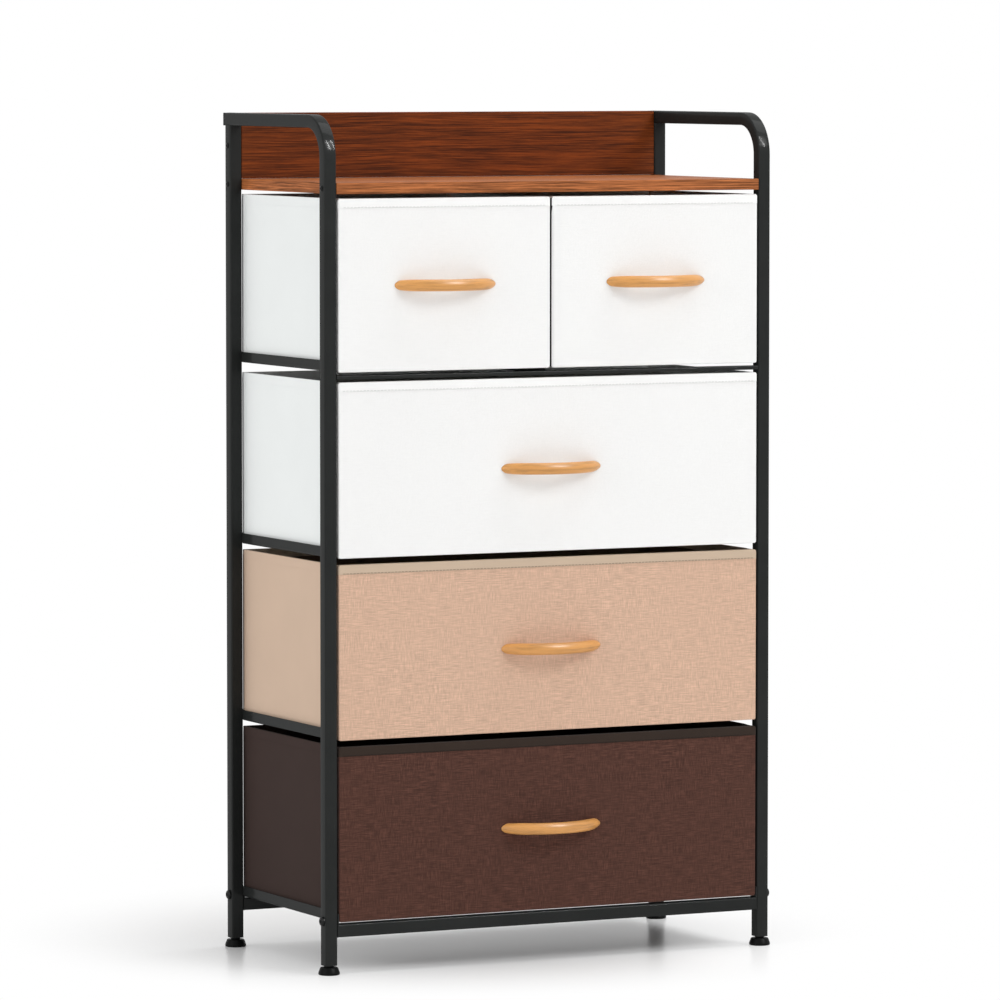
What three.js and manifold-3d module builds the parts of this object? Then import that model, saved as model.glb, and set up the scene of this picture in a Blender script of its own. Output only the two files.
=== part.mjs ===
// A fabric drawer dresser: a bent steel tube frame with a wood top, two small and three wide drawers.
// Millimetres, +Z up, the drawers open towards -Y, origin on the floor under the middle of the outline.
import * as THREE from "three";
import { mergeVertices } from "three/addons/utils/BufferGeometryUtils.js";
import Module from "manifold-3d";

const wasm = await Module();
wasm.setup();

// Frame: outside width and depth over the posts, and the square tube that most of it is made of
const FRAME_WIDTH = 580;
const FRAME_DEPTH = 280;
const TUBE = 15;
const TUBE_WALL = 1;
const TUBE_CORNER = 1.6;
const BEND_RADIUS = 42; // centre line of the bend between a front post and its hand rail
const HAND_RAIL_OVERHANG = 2; // past the rear post's rear face
const LEG_CLEARANCE = 43.3; // floor to the underside of the bottom crossbars

// The stack of clearances and thicknesses above the bottom crossbars
const BOTTOM_REVEAL = 1.6; // bottom crossbar to the bottom drawer's front
const DRAWER_REVEAL = 7.2; // from one wide drawer's front to the next
const BAR_REVEAL = 2.7; // upper drawer's front to the front top crossbar
const FRONT_BAR_HEIGHT = 6;
const REAR_BAR_DEPTH = 8; // the three upper rear crossbars, flush with the posts' rear faces
const BAR_CLEARANCE = 2.1; // front top crossbar to the small drawers' fronts
const TABLE_REVEAL = 5.5; // small drawers' fronts to the tabletop
const TABLETOP_THICKNESS = 13;
const HAND_RAIL_RISE = 77.7; // top of the tabletop to the top of the hand rails

// Side rails, bent from sheet, that the drawers slide on, with their upright flanges flush with the
// posts' inner faces, and the centre rail between the small drawers
const RAIL_SHEET = 1.2;
const RAIL_HEIGHT = 12.4;
const RAIL_WIDTH = 18;
const CENTRE_RAIL_WIDTH = 30;
const CENTRE_RAIL_STEM = 8.5;

// Bolted end plates of the bottom crossbars
const PLATE = 1.5;
const PLATE_RISE = 12.4; // above the crossbar
const PLATE_CLEARANCE = 0.6; // to the drawers that pass it
const FRAME_BOLT_RISE = 19; // bolt centre above the underside of the crossbar

// Drawers
const WIDE_FRONT_HEIGHT = 203;
const SMALL_FRONT_HEIGHT = 199.7;
const WIDE_LIP = 0.4; // how far a wide drawer's front hangs below its rails
const SMALL_LIP = 1.4;
const SMALL_DRAWER_GAP = 2.6;
const STOP_GAP = 1; // closed drawer to the rear crossbars
const FABRIC = 2;
const FABRIC_CORNER = 3;
const FRONT_BOARD = 4;
const FRONT_BOARD_SHORTFALL = 6; // below the drawer's rim
const BASE_BOARD = 2.5;
const BOARD_EASE = 2; // from a board's edges to the drawer's walls

// Handles: a round bar bowed to an arc and cut flat where it meets the drawer's front
const HANDLE_LENGTH = 130;
const HANDLE_PROJECTION = 30;
const HANDLE_THICKNESS = 11;
const HANDLE_HEIGHT = 13;
const WIDE_HANDLE_DROP = 3; // below the middle of a wide drawer's front

// Wood
const BACK_PANEL_THICKNESS = 12;
const WOOD_EDGE = 0.8;

// Levelling feet
const FOOT_RADIUS = 12.5;
const FOOT_TOP_RADIUS = 10.6;
const FOOT_EDGE = 1.2;
const FOOT_HEIGHT = 8.8;
const FOOT_NECK_RADIUS = 5.5;
const FOOT_NECK = 2;
const STUD_RADIUS = 3;
const STUD_LENGTH = 20;
const FOOT_PLATE = 3; // nut plate closing the lower end of each post

// Bolts and hand rail caps
const FRAME_BOLT = {
  radius: 2.8,
  headRadius: 5.5,
  headHeight: 4.2,
  headRim: 1.4, // the straight part of the head's side
  socketRadius: 2.2,
  socketDepth: 1.8,
};
const WOOD_BOLT = {
  radius: 1.9,
  headRadius: 3.2,
  headHeight: 1.8,
  headRim: 0.4,
  socketRadius: 1.2,
  socketDepth: 0.9,
};
const WOOD_BOLT_BITE = 25; // length of a bolt inside the wood
const CAP_HEAD = 3;
const CAP_PLUG = 11;
const CAP_EDGE = 0.8;

const GAP = 0.3; // between pieces that touch
const OVERRUN = 5; // how far a cut runs past what it cuts

// Counts of flats on round forms
const CORNER_STEPS = 2;
const BEND_STEPS = 9;
const HOLE_SIDES = 12;
const FOOT_SIDES = 20;
const BAR_STEPS = 6; // in half of a handle's section
const BOW_STEPS = 14;
const DOME_STEPS = 3;
const SOCKET_SIDES = 6;

const FINISHES = {
  steel: { color: 0x2a2c2b, roughness: 0.42, metalness: 0.5 },
  plastic: { color: 0x161717, roughness: 0.55, metalness: 0 },
  bolt: { color: 0x1d1e1e, roughness: 0.35, metalness: 0.7 },
  tabletop: { color: 0xa5643f, roughness: 0.5, metalness: 0 },
  backPanel: { color: 0x8c431f, roughness: 0.5, metalness: 0 },
  handle: { color: 0xe4ab6f, roughness: 0.45, metalness: 0 },
  board: { color: 0xb79c7a, roughness: 0.8, metalness: 0 },
  white: { color: 0xf3f3f2, roughness: 0.9, metalness: 0 },
  tan: { color: 0xd6b69b, roughness: 0.95, metalness: 0 },
  brown: { color: 0x50342c, roughness: 0.95, metalness: 0 },
};

// Places that several pieces share
const outerX = FRAME_WIDTH / 2;
const outerY = FRAME_DEPTH / 2;
const innerX = outerX - TUBE;
const innerY = outerY - TUBE;
const postX = outerX - TUBE / 2;
const postY = outerY - TUBE / 2;
const postBottom = FOOT_HEIGHT + FOOT_NECK;
const crossbarTop = LEG_CLEARANCE + TUBE;
const widePitch = WIDE_FRONT_HEIGHT + DRAWER_REVEAL;
const bottomLevel = crossbarTop + BOTTOM_REVEAL + WIDE_LIP;
const middleLevel = bottomLevel + widePitch;
const upperLevel = middleLevel + widePitch;
const frontBarBottom = upperLevel - WIDE_LIP + WIDE_FRONT_HEIGHT + BAR_REVEAL;
const topLevel = frontBarBottom + FRONT_BAR_HEIGHT + BAR_CLEARANCE + SMALL_LIP;
const tabletopBottom = topLevel - SMALL_LIP + SMALL_FRONT_HEIGHT + TABLE_REVEAL;
const tabletopTop = tabletopBottom + TABLETOP_THICKNESS;
const frameTop = tabletopTop + HAND_RAIL_RISE;
const tableBoltHeight = tabletopBottom + TABLETOP_THICKNESS / 2;
const panelBottom = tabletopTop + GAP;
const panelBoltHeight = (panelBottom + frameTop) / 2;
const frameBoltHeight = LEG_CLEARANCE + FRAME_BOLT_RISE;
const frameHoleRadius = FRAME_BOLT.radius + GAP;
const woodHoleRadius = WOOD_BOLT.radius + GAP;
const drawerSide = innerX - GAP - PLATE - PLATE_CLEARANCE;
const rearBarFront = outerY - REAR_BAR_DEPTH;
const rearBarY = outerY - REAR_BAR_DEPTH / 2;
const rearReach = outerY + HAND_RAIL_OVERHANG + GAP + CAP_HEAD;
const frontReach = outerY + GAP + HANDLE_PROJECTION;

// Solids and meshes

function solidOf(geometry) {
  const bare = geometry.clone();
  bare.deleteAttribute("normal");
  bare.deleteAttribute("uv");
  const welded = mergeVertices(bare);
  return new wasm.Manifold(
    new wasm.Mesh({
      numProp: 3,
      vertProperties: welded.attributes.position.array,
      triVerts: new Uint32Array(welded.index.array),
    }),
  );
}

function geometryOf(solid) {
  const mesh = solid.getMesh();
  const geometry = new THREE.BufferGeometry();
  geometry.setAttribute("position", new THREE.BufferAttribute(mesh.vertProperties, 3));
  geometry.setIndex(new THREE.BufferAttribute(mesh.triVerts, 1));
  return geometry;
}

function cut(geometry, ...tools) {
  const start = solidOf(geometry);
  return geometryOf(tools.reduce((left, tool) => left.subtract(solidOf(tool)), start));
}

function join(first, ...others) {
  const start = solidOf(first);
  return geometryOf(others.reduce((sum, other) => sum.add(solidOf(other)), start));
}

function addPiece(group, name, finish, geometry, x = 0, y = 0, z = 0) {
  const mesh = new THREE.Mesh(geometry, new THREE.MeshStandardMaterial(FINISHES[finish]));
  mesh.name = name;
  mesh.position.set(x, y, z);
  group.add(mesh);
}

// Shapes that several pieces share

function roundedRectangle(width, height, radius) {
  const x = width / 2 - radius;
  const y = height / 2 - radius;
  const quarter = Math.PI / 2;
  const shape = new THREE.Shape();
  shape.absarc(x, y, radius, 0, quarter);
  shape.absarc(-x, y, radius, quarter, 2 * quarter);
  shape.absarc(-x, -y, radius, 2 * quarter, 3 * quarter);
  shape.absarc(x, -y, radius, 3 * quarter, 4 * quarter);
  return shape;
}

function rectangle(width, height) {
  const [x, y] = [width / 2, height / 2];
  return new THREE.Shape([
    new THREE.Vector2(-x, -y),
    new THREE.Vector2(x, -y),
    new THREE.Vector2(x, y),
    new THREE.Vector2(-x, y),
  ]);
}

// A prism of the shape, standing on its origin.
function prism(shape, length) {
  return new THREE.ExtrudeGeometry(shape, {
    depth: length,
    bevelEnabled: false,
    curveSegments: CORNER_STEPS,
  });
}

// A prism of the shape centred along X: the shape's x runs along Y, and its y along Z.
function prismAlongX(shape, length) {
  return prism(shape, length)
    .translate(0, 0, -length / 2)
    .applyMatrix4(new THREE.Matrix4().set(0, 0, 1, 0, 1, 0, 0, 0, 0, 1, 0, 0, 0, 0, 0, 1));
}

// A prism of the shape centred along Y: the shape's x runs along X, and its y along Z.
function prismAlongY(shape, length) {
  return prism(shape, length)
    .translate(0, 0, -length / 2)
    .rotateX(Math.PI / 2);
}

function holeAlongX(radius, length) {
  return new THREE.CylinderGeometry(radius, radius, length, HOLE_SIDES).rotateZ(Math.PI / 2);
}

function holeAlongZ(radius, length) {
  return new THREE.CylinderGeometry(radius, radius, length, HOLE_SIDES).rotateX(Math.PI / 2);
}

function box(width, depth, height) {
  return new THREE.BoxGeometry(width, depth, height);
}

// Posts and hand rails. Each stands on its own origin, at the foot of its post.

const boreWidth = TUBE - 2 * TUBE_WALL;
const tubeOutline = roundedRectangle(TUBE, TUBE, TUBE_CORNER);
const boreOutline = rectangle(boreWidth, boreWidth);

// Up the post, round the bend and back along the hand rail, with one step on each straight.
class HandRailPath extends THREE.Curve {
  constructor(start, rise, run) {
    super();
    this.start = start;
    this.rise = rise;
    this.run = run;
  }

  getPointAt(t) {
    const step = t * (BEND_STEPS + 2);
    if (step <= 1) {
      const straight = this.rise - BEND_RADIUS - this.start;
      return new THREE.Vector3(0, 0, this.start + straight * step);
    }
    if (step >= BEND_STEPS + 1) {
      const straight = this.run - BEND_RADIUS;
      return new THREE.Vector3(0, BEND_RADIUS + straight * (step - BEND_STEPS - 1), this.rise);
    }
    const angle = ((step - 1) / BEND_STEPS) * (Math.PI / 2);
    const y = BEND_RADIUS * (1 - Math.cos(angle));
    return new THREE.Vector3(0, y, this.rise - BEND_RADIUS * (1 - Math.sin(angle)));
  }

  getTangentAt(t) {
    const step = THREE.MathUtils.clamp(t * (BEND_STEPS + 2) - 1, 0, BEND_STEPS);
    const angle = (step / BEND_STEPS) * (Math.PI / 2);
    return new THREE.Vector3(0, Math.sin(angle), Math.cos(angle));
  }
}

function bentTube(outline, start, rise, run) {
  return new THREE.ExtrudeGeometry(outline, {
    steps: BEND_STEPS + 2,
    extrudePath: new HandRailPath(start, rise, run),
    curveSegments: CORNER_STEPS,
  });
}

function studHole() {
  return holeAlongZ(STUD_RADIUS + GAP, FOOT_PLATE + 2 * OVERRUN);
}

function postHole(radius, height) {
  return holeAlongX(radius, TUBE + 2 * OVERRUN).translate(0, 0, height - postBottom);
}

function postHoles(woodHeights) {
  const holes = woodHeights.map((height) => postHole(woodHoleRadius, height));
  return [studHole(), postHole(frameHoleRadius, frameBoltHeight), ...holes];
}

function frontPostAndHandRail() {
  const rise = frameTop - TUBE / 2 - postBottom;
  const run = rearReach - CAP_HEAD - GAP + postY;
  const outside = bentTube(tubeOutline, 0, rise, run);
  const bore = bentTube(boreOutline, FOOT_PLATE, rise, run + OVERRUN);
  return cut(outside, bore, ...postHoles([tableBoltHeight]));
}

function rearPost() {
  const height = frameTop - TUBE - GAP - postBottom;
  const outside = prism(tubeOutline, height);
  const bore = prism(boreOutline, height + OVERRUN).translate(0, 0, FOOT_PLATE);
  return cut(outside, bore, ...postHoles([tableBoltHeight, panelBoltHeight]));
}

// Centred on the end of the hand rail, with its head towards +Y.
function handRailCap() {
  const plugWidth = boreWidth - 2 * GAP;
  const intoHead = GAP + CAP_HEAD / 2;
  const plug = prismAlongY(rectangle(plugWidth, plugWidth), CAP_PLUG + intoHead);
  const head = new THREE.ExtrudeGeometry(
    roundedRectangle(TUBE - 2 * CAP_EDGE, TUBE - 2 * CAP_EDGE, TUBE_CORNER / 2),
    {
      depth: CAP_HEAD - 2 * CAP_EDGE,
      bevelThickness: CAP_EDGE,
      bevelSize: CAP_EDGE,
      bevelSegments: 2,
      curveSegments: CORNER_STEPS,
    },
  ).rotateX(-Math.PI / 2);
  return join(
    head.translate(0, GAP + CAP_EDGE, 0),
    plug.translate(0, (intoHead - CAP_PLUG) / 2, 0),
  );
}

// Rails and crossbars

// An angle with its upright flange outside; its origin is at the bottom of that flange's outer face.
function sideRail(inward) {
  const points = [
    [0, 0],
    [RAIL_WIDTH, 0],
    [RAIL_WIDTH, RAIL_SHEET],
    [RAIL_SHEET, RAIL_SHEET],
    [RAIL_SHEET, RAIL_HEIGHT],
    [0, RAIL_HEIGHT],
  ].map(([x, z]) => new THREE.Vector2(inward * x, z));
  return prismAlongY(new THREE.Shape(points), 2 * (innerY - GAP));
}

// A flat strip level with the side rails' lower flanges, stiffened by a stem below it.
function centreRail() {
  const half = CENTRE_RAIL_WIDTH / 2;
  const front = GAP - innerY;
  const rear = rearBarFront - GAP;
  const points = [
    [-half, 0],
    [-RAIL_SHEET / 2, 0],
    [-RAIL_SHEET / 2, -CENTRE_RAIL_STEM],
    [RAIL_SHEET / 2, -CENTRE_RAIL_STEM],
    [RAIL_SHEET / 2, 0],
    [half, 0],
    [half, RAIL_SHEET],
    [-half, RAIL_SHEET],
  ].map(([x, z]) => new THREE.Vector2(x, z));
  return prismAlongY(new THREE.Shape(points), rear - front).translate(0, (front + rear) / 2, 0);
}

// A hollow bar between the side frames, standing on its origin.
function crossbar(depth, height) {
  const length = 2 * (innerX - GAP);
  const outline = roundedRectangle(depth, height, TUBE_CORNER);
  const bore = rectangle(depth - 2 * TUBE_WALL, height - 2 * TUBE_WALL);
  return cut(
    prismAlongX(outline, length).translate(0, 0, height / 2),
    prismAlongX(bore, length + OVERRUN).translate(0, 0, height / 2),
  );
}

// A bottom crossbar has a plate on each end that stands up past it to take a bolt.
function boltedCrossbar() {
  const length = 2 * (innerX - GAP);
  const plateHeight = TUBE + PLATE_RISE;
  const plates = [-1, 1].map((side) =>
    box(PLATE, TUBE, plateHeight).translate(side * (innerX - GAP - PLATE / 2), 0, plateHeight / 2),
  );
  const bar = prismAlongX(tubeOutline, length - PLATE).translate(0, 0, TUBE / 2);
  const bore = prismAlongX(boreOutline, length + OVERRUN).translate(0, 0, TUBE / 2);
  const hole = holeAlongX(frameHoleRadius, length + OVERRUN).translate(0, 0, FRAME_BOLT_RISE);
  return cut(join(bar, ...plates), bore, hole);
}

// Wood

// A board between the side frames with eased long edges, drilled in its ends for the bolts.
function board(depth, height, boltPlaces) {
  const length = 2 * (innerX - GAP);
  const slab = prismAlongX(roundedRectangle(depth, height, WOOD_EDGE), length);
  const holes = boltPlaces.flatMap((y) =>
    [-1, 1].map((side) =>
      holeAlongX(woodHoleRadius, 2 * (WOOD_BOLT_BITE + GAP)).translate((side * length) / 2, y, 0),
    ),
  );
  return cut(slab, ...holes);
}

// Feet and bolts

// Stands on the floor, with its stud up through the post's end plate.
function foot() {
  const studTop = postBottom + STUD_LENGTH;
  const profile = [
    [0, 0],
    [FOOT_RADIUS - FOOT_EDGE, 0],
    [FOOT_RADIUS, FOOT_EDGE],
    [FOOT_RADIUS, 2 * FOOT_EDGE],
    [FOOT_TOP_RADIUS, FOOT_HEIGHT - FOOT_EDGE],
    [FOOT_TOP_RADIUS - FOOT_EDGE, FOOT_HEIGHT],
    [FOOT_NECK_RADIUS, FOOT_HEIGHT],
    [FOOT_NECK_RADIUS, postBottom - GAP],
    [STUD_RADIUS, postBottom - GAP],
    [STUD_RADIUS, studTop],
    [0, studTop],
  ].map(([r, z]) => new THREE.Vector2(r, z));
  return new THREE.LatheGeometry(profile, FOOT_SIDES).rotateX(Math.PI / 2);
}

// Along X from its head's seat at the origin: the head towards -X, the shank towards +X.
function bolt(sizes, shankLength) {
  const { radius, headRadius, headHeight, headRim, socketRadius, socketDepth } = sizes;
  const dome = [];
  for (let i = 0; i <= DOME_STEPS; i += 1) {
    const angle = (i / DOME_STEPS) * (Math.PI / 2);
    dome.push([headRadius * Math.sin(angle), -headRim - (headHeight - headRim) * Math.cos(angle)]);
  }
  const profile = [...dome, [headRadius, 0], [radius, 0], [radius, shankLength], [0, shankLength]];
  const body = new THREE.LatheGeometry(
    profile.map(([r, x]) => new THREE.Vector2(r, x)),
    HOLE_SIDES,
  );
  const socket = new THREE.CylinderGeometry(socketRadius, socketRadius, 2 * socketDepth, SOCKET_SIDES);
  socket.translate(0, -headHeight, 0);
  return cut(body, socket).rotateZ(-Math.PI / 2);
}

// Drawers. Each is placed by the middle of its front's lower edge.

function drawerBin(width, depth, height, floor) {
  const outline = roundedRectangle(width, depth, FABRIC_CORNER);
  const inside = roundedRectangle(width - 2 * FABRIC, depth - 2 * FABRIC, FABRIC_CORNER - FABRIC / 2);
  const lipDepth = 2 * FABRIC + FRONT_BOARD;
  const shell = cut(
    prism(outline, height - floor).translate(0, depth / 2, floor),
    prism(inside, height).translate(0, depth / 2, floor + FABRIC),
  );
  const lip = prism(roundedRectangle(width, lipDepth, FABRIC_CORNER), floor + FABRIC / 2);
  return join(shell, lip.translate(0, lipDepth / 2, 0));
}

class BowPath extends THREE.Curve {
  constructor(radius, sweep) {
    super();
    this.radius = radius;
    this.sweep = sweep;
  }

  getPoint(t) {
    const angle = (2 * t - 1) * this.sweep;
    return new THREE.Vector3(this.radius * Math.sin(angle), -this.radius * Math.cos(angle), 0);
  }
}

// The outer arc passes the ends of the handle and its most forward point; the bar follows it inside.
function handle() {
  const half = HANDLE_LENGTH / 2;
  const outerRadius = (half ** 2 + HANDLE_PROJECTION ** 2) / (2 * HANDLE_PROJECTION);
  const radius = outerRadius - HANDLE_THICKNESS / 2;
  const centre = outerRadius - HANDLE_PROJECTION;
  const sweep = Math.asin(half / outerRadius) + HANDLE_THICKNESS / outerRadius;
  const section = new THREE.Shape();
  section.absellipse(0, 0, HANDLE_HEIGHT / 2, HANDLE_THICKNESS / 2, 0, 2 * Math.PI);
  const bar = new THREE.ExtrudeGeometry(section, {
    steps: BOW_STEPS,
    extrudePath: new BowPath(radius, sweep),
    curveSegments: BAR_STEPS,
  });
  const behind = box(2 * HANDLE_LENGTH, outerRadius, 2 * HANDLE_HEIGHT);
  return cut(bar.translate(0, centre, 0), behind.translate(0, outerRadius / 2, 0));
}

const drawerDepth = outerY + rearBarFront - STOP_GAP;

function addDrawer(group, name, finish, { x, width, level, lip, height, drop }) {
  const drawer = new THREE.Group();
  const floor = lip + RAIL_SHEET + GAP;
  const innerWidth = width - 2 * FABRIC;
  const boardFront = FABRIC + GAP;
  const boardBottom = floor + FABRIC + GAP;
  const boardHeight = height - FRONT_BOARD_SHORTFALL - boardBottom;
  const baseFront = boardFront + FRONT_BOARD + GAP;
  const baseDepth = drawerDepth - FABRIC - BOARD_EASE - baseFront;
  const frontBoard = box(innerWidth - 2 * BOARD_EASE, FRONT_BOARD, boardHeight);
  const baseBoard = box(innerWidth - 2 * BOARD_EASE, baseDepth, BASE_BOARD);
  frontBoard.translate(0, boardFront + FRONT_BOARD / 2, boardBottom + boardHeight / 2);
  baseBoard.translate(0, baseFront + baseDepth / 2, boardBottom + BASE_BOARD / 2);
  addPiece(drawer, `${name}_bin`, finish, drawerBin(width, drawerDepth, height, floor));
  addPiece(drawer, `${name}_front_board`, "board", frontBoard);
  addPiece(drawer, `${name}_base_board`, "board", baseBoard);
  addPiece(drawer, `${name}_handle`, "handle", handle(), 0, -GAP, height / 2 - drop);
  drawer.position.set(x, -outerY, level - lip);
  group.add(drawer);
}

// Assembly

function addSideFrame(group, sideName, side) {
  const levels = { bottom: bottomLevel, middle: middleLevel, upper: upperLevel, top: topLevel };
  const x = side * postX;
  const railX = side * (innerX + RAIL_SHEET);
  addPiece(group, `${sideName}_post_and_hand_rail`, "steel", frontPostAndHandRail(), x, -postY, postBottom);
  addPiece(group, `${sideName}_rear_post`, "steel", rearPost(), x, postY, postBottom);
  addPiece(
    group,
    `${sideName}_hand_rail_cap`,
    "plastic",
    handRailCap(),
    x,
    outerY + HAND_RAIL_OVERHANG,
    frameTop - TUBE / 2,
  );
  for (const [row, level] of Object.entries(levels)) {
    addPiece(group, `${sideName}_${row}_rail`, "steel", sideRail(-side), railX, 0, level);
  }
}

function addBolts(group, sideName, side) {
  const intoWood = GAP + TUBE + GAP + WOOD_BOLT_BITE;
  const intoPlate = GAP + TUBE + GAP + PLATE;
  const seat = side * (outerX + GAP);
  const places = [
    ["front_table_bolt", WOOD_BOLT, -postY, tableBoltHeight, intoWood],
    ["rear_table_bolt", WOOD_BOLT, postY, tableBoltHeight, intoWood],
    ["panel_bolt", WOOD_BOLT, postY, panelBoltHeight, intoWood],
    ["front_frame_bolt", FRAME_BOLT, -postY, frameBoltHeight, intoPlate],
    ["rear_frame_bolt", FRAME_BOLT, postY, frameBoltHeight, intoPlate],
  ];
  for (const [name, sizes, y, z, length] of places) {
    const shape = bolt(sizes, length);
    if (side > 0) shape.rotateZ(Math.PI);
    addPiece(group, `${sideName}_${name}`, "bolt", shape, seat, y, z);
  }
}

function addFrame(group) {
  for (const [sideName, side] of [["left", -1], ["right", 1]]) {
    addSideFrame(group, sideName, side);
    addBolts(group, sideName, side);
    addPiece(group, `front_${sideName}_foot`, "plastic", foot(), side * postX, -postY, 0);
    addPiece(group, `rear_${sideName}_foot`, "plastic", foot(), side * postX, postY, 0);
  }
  addPiece(group, "front_bottom_crossbar", "steel", boltedCrossbar(), 0, -postY, LEG_CLEARANCE);
  addPiece(group, "rear_bottom_crossbar", "steel", boltedCrossbar(), 0, postY, LEG_CLEARANCE);
  const rearBar = () => crossbar(REAR_BAR_DEPTH, RAIL_HEIGHT);
  const frontBar = crossbar(TUBE, FRONT_BAR_HEIGHT);
  addPiece(group, "rear_middle_crossbar", "steel", rearBar(), 0, rearBarY, middleLevel);
  addPiece(group, "rear_upper_crossbar", "steel", rearBar(), 0, rearBarY, upperLevel);
  addPiece(group, "rear_top_crossbar", "steel", rearBar(), 0, rearBarY, topLevel);
  addPiece(group, "front_top_crossbar", "steel", frontBar, 0, -postY, frontBarBottom);
  addPiece(group, "centre_rail", "steel", centreRail(), 0, 0, topLevel);
}

function addWood(group) {
  const panelHeight = frameTop - panelBottom;
  const tabletop = board(FRAME_DEPTH, TABLETOP_THICKNESS, [-postY, postY]);
  const backPanel = board(BACK_PANEL_THICKNESS, panelHeight, [0]);
  addPiece(group, "tabletop", "tabletop", tabletop, 0, 0, tableBoltHeight);
  addPiece(group, "back_panel", "backPanel", backPanel, 0, postY, panelBoltHeight);
}

function addDrawers(group) {
  const smallWidth = drawerSide - SMALL_DRAWER_GAP / 2;
  const smallX = (drawerSide + SMALL_DRAWER_GAP / 2) / 2;
  const small = { width: smallWidth, level: topLevel, lip: SMALL_LIP, height: SMALL_FRONT_HEIGHT };
  const wide = { x: 0, width: 2 * drawerSide, lip: WIDE_LIP, height: WIDE_FRONT_HEIGHT };
  const drop = WIDE_HANDLE_DROP;
  addDrawer(group, "top_left_drawer", "white", { ...small, drop: 0, x: -smallX });
  addDrawer(group, "top_right_drawer", "white", { ...small, drop: 0, x: smallX });
  addDrawer(group, "upper_drawer", "white", { ...wide, drop, level: upperLevel });
  addDrawer(group, "middle_drawer", "tan", { ...wide, drop, level: middleLevel });
  addDrawer(group, "bottom_drawer", "brown", { ...wide, drop, level: bottomLevel });
}

const dresser = new THREE.Group();
addFrame(dresser);
addWood(dresser);
addDrawers(dresser);
dresser.position.set(0, (frontReach - rearReach) / 2, 0);

const part = new THREE.Group();
part.add(dresser);

export default part;
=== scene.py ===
import math
from contextlib import contextmanager

import bmesh
import bpy
from bpy.props import FloatProperty, FloatVectorProperty, IntProperty, PointerProperty
from mathutils import Matrix, Vector, noise


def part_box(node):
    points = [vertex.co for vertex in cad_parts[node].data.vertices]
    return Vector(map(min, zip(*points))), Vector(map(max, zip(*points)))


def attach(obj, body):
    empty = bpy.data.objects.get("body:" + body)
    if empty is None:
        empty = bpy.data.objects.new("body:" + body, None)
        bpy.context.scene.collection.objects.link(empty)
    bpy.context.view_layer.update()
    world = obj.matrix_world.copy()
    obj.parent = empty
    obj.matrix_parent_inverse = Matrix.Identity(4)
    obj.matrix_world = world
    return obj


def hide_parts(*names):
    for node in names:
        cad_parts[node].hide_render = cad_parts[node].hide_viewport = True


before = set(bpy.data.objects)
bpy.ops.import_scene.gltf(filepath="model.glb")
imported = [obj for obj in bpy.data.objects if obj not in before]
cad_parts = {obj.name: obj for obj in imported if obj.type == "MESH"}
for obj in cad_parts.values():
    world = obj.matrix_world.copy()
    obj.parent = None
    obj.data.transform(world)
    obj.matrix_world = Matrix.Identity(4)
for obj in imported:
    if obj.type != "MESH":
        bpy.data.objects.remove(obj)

bl_info = {
    "name": "Fabric Drawer Dresser",
    "version": (1, 0, 0),
    "blender": (4, 5, 0),
    "location": "View3D > Sidebar > Dresser",
    "description": "Dresses the packed frame of a fabric drawer dresser in steel, wood and cloth",
    "category": "Add Mesh",
}

# The way each side lies along X, and the rows of side rails from the floor up
SIDES = {"left": -1, "right": 1}
ROWS = ("bottom", "middle", "upper", "top")
# Each drawer and the tint of its cloth
DRAWERS = {
    "top_left_drawer": "white",
    "top_right_drawer": "white",
    "upper_drawer": "white",
    "middle_drawer": "tan",
    "bottom_drawer": "brown",
}
X_AXIS, Y_AXIS, Z_AXIS = Vector((1, 0, 0)), Vector((0, 1, 0)), Vector((0, 0, 1))

# How near in metres two places count as one, and how near doubled points are when they merge
TOUCHING, DOUBLED = 1e-5, 1e-6
# Cosines with an axis: above the first an edge runs along it, above the second a face looks along it,
# and below the third either lies across it
PARALLEL, FACING, ACROSS = 0.99, 0.9, 0.5
# How far behind the foremost face a point can lie and still belong to it
FACE_DEPTH = 1e-4


# Working by hand: selecting, adding and shaping


def choose(*pieces):
    """Selects these pieces alone and makes the last one active."""
    if bpy.context.mode != "OBJECT":
        bpy.ops.object.mode_set(mode="OBJECT")
    bpy.ops.object.select_all(action="DESELECT")
    for piece in pieces:
        piece.select_set(True)
        bpy.context.view_layer.objects.active = piece


def settle(name):
    """Names the new primitive and puts its place and size into its mesh."""
    piece = bpy.context.object
    choose(piece)
    bpy.ops.object.transform_apply(location=True, rotation=True, scale=True)
    piece.name = piece.data.name = name
    return piece


def add_block(name, low, high):
    """A box between its low corner and its high one."""
    choose()
    bpy.ops.mesh.primitive_cube_add(size=1, location=(low + high) / 2)
    bpy.context.object.scale = high - low
    return settle(name)


def add_sheet(name, low, high):
    """A level rectangle at the height of its low corner."""
    choose()
    middle = (low + high) / 2
    bpy.ops.mesh.primitive_plane_add(size=1, location=(middle.x, middle.y, low.z))
    bpy.context.object.scale = (high.x - low.x, high.y - low.y, 1)
    return settle(name)


def add_rod(name, middle, sides, radius, depth):
    """A cylinder or prism along X."""
    choose()
    bpy.ops.mesh.primitive_cylinder_add(
        vertices=sides, radius=radius, depth=depth, location=middle, rotation=(0, math.pi / 2, 0)
    )
    return settle(name)


def add_turned(name, base, axis, rings, sides):
    """A closed round solid through rings of (radius, place along the axis), the first at the base."""
    choose()
    turn = axis.to_track_quat("Z", "Y").to_euler()
    (radius, place), *others = rings
    bpy.ops.mesh.primitive_circle_add(
        vertices=sides, radius=radius, fill_type="NGON", location=base, rotation=turn
    )
    solid = settle(name)
    with editing(solid):
        for next_radius, next_place in others:
            extrude(axis * (next_place - place))
            ratio = next_radius / radius
            growth = Vector(1 if part else ratio for part in axis)
            bpy.ops.transform.resize(value=growth, center_override=base + axis * next_place)
            radius, place = next_radius, next_place
    face_outwards(solid)
    return solid


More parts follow.
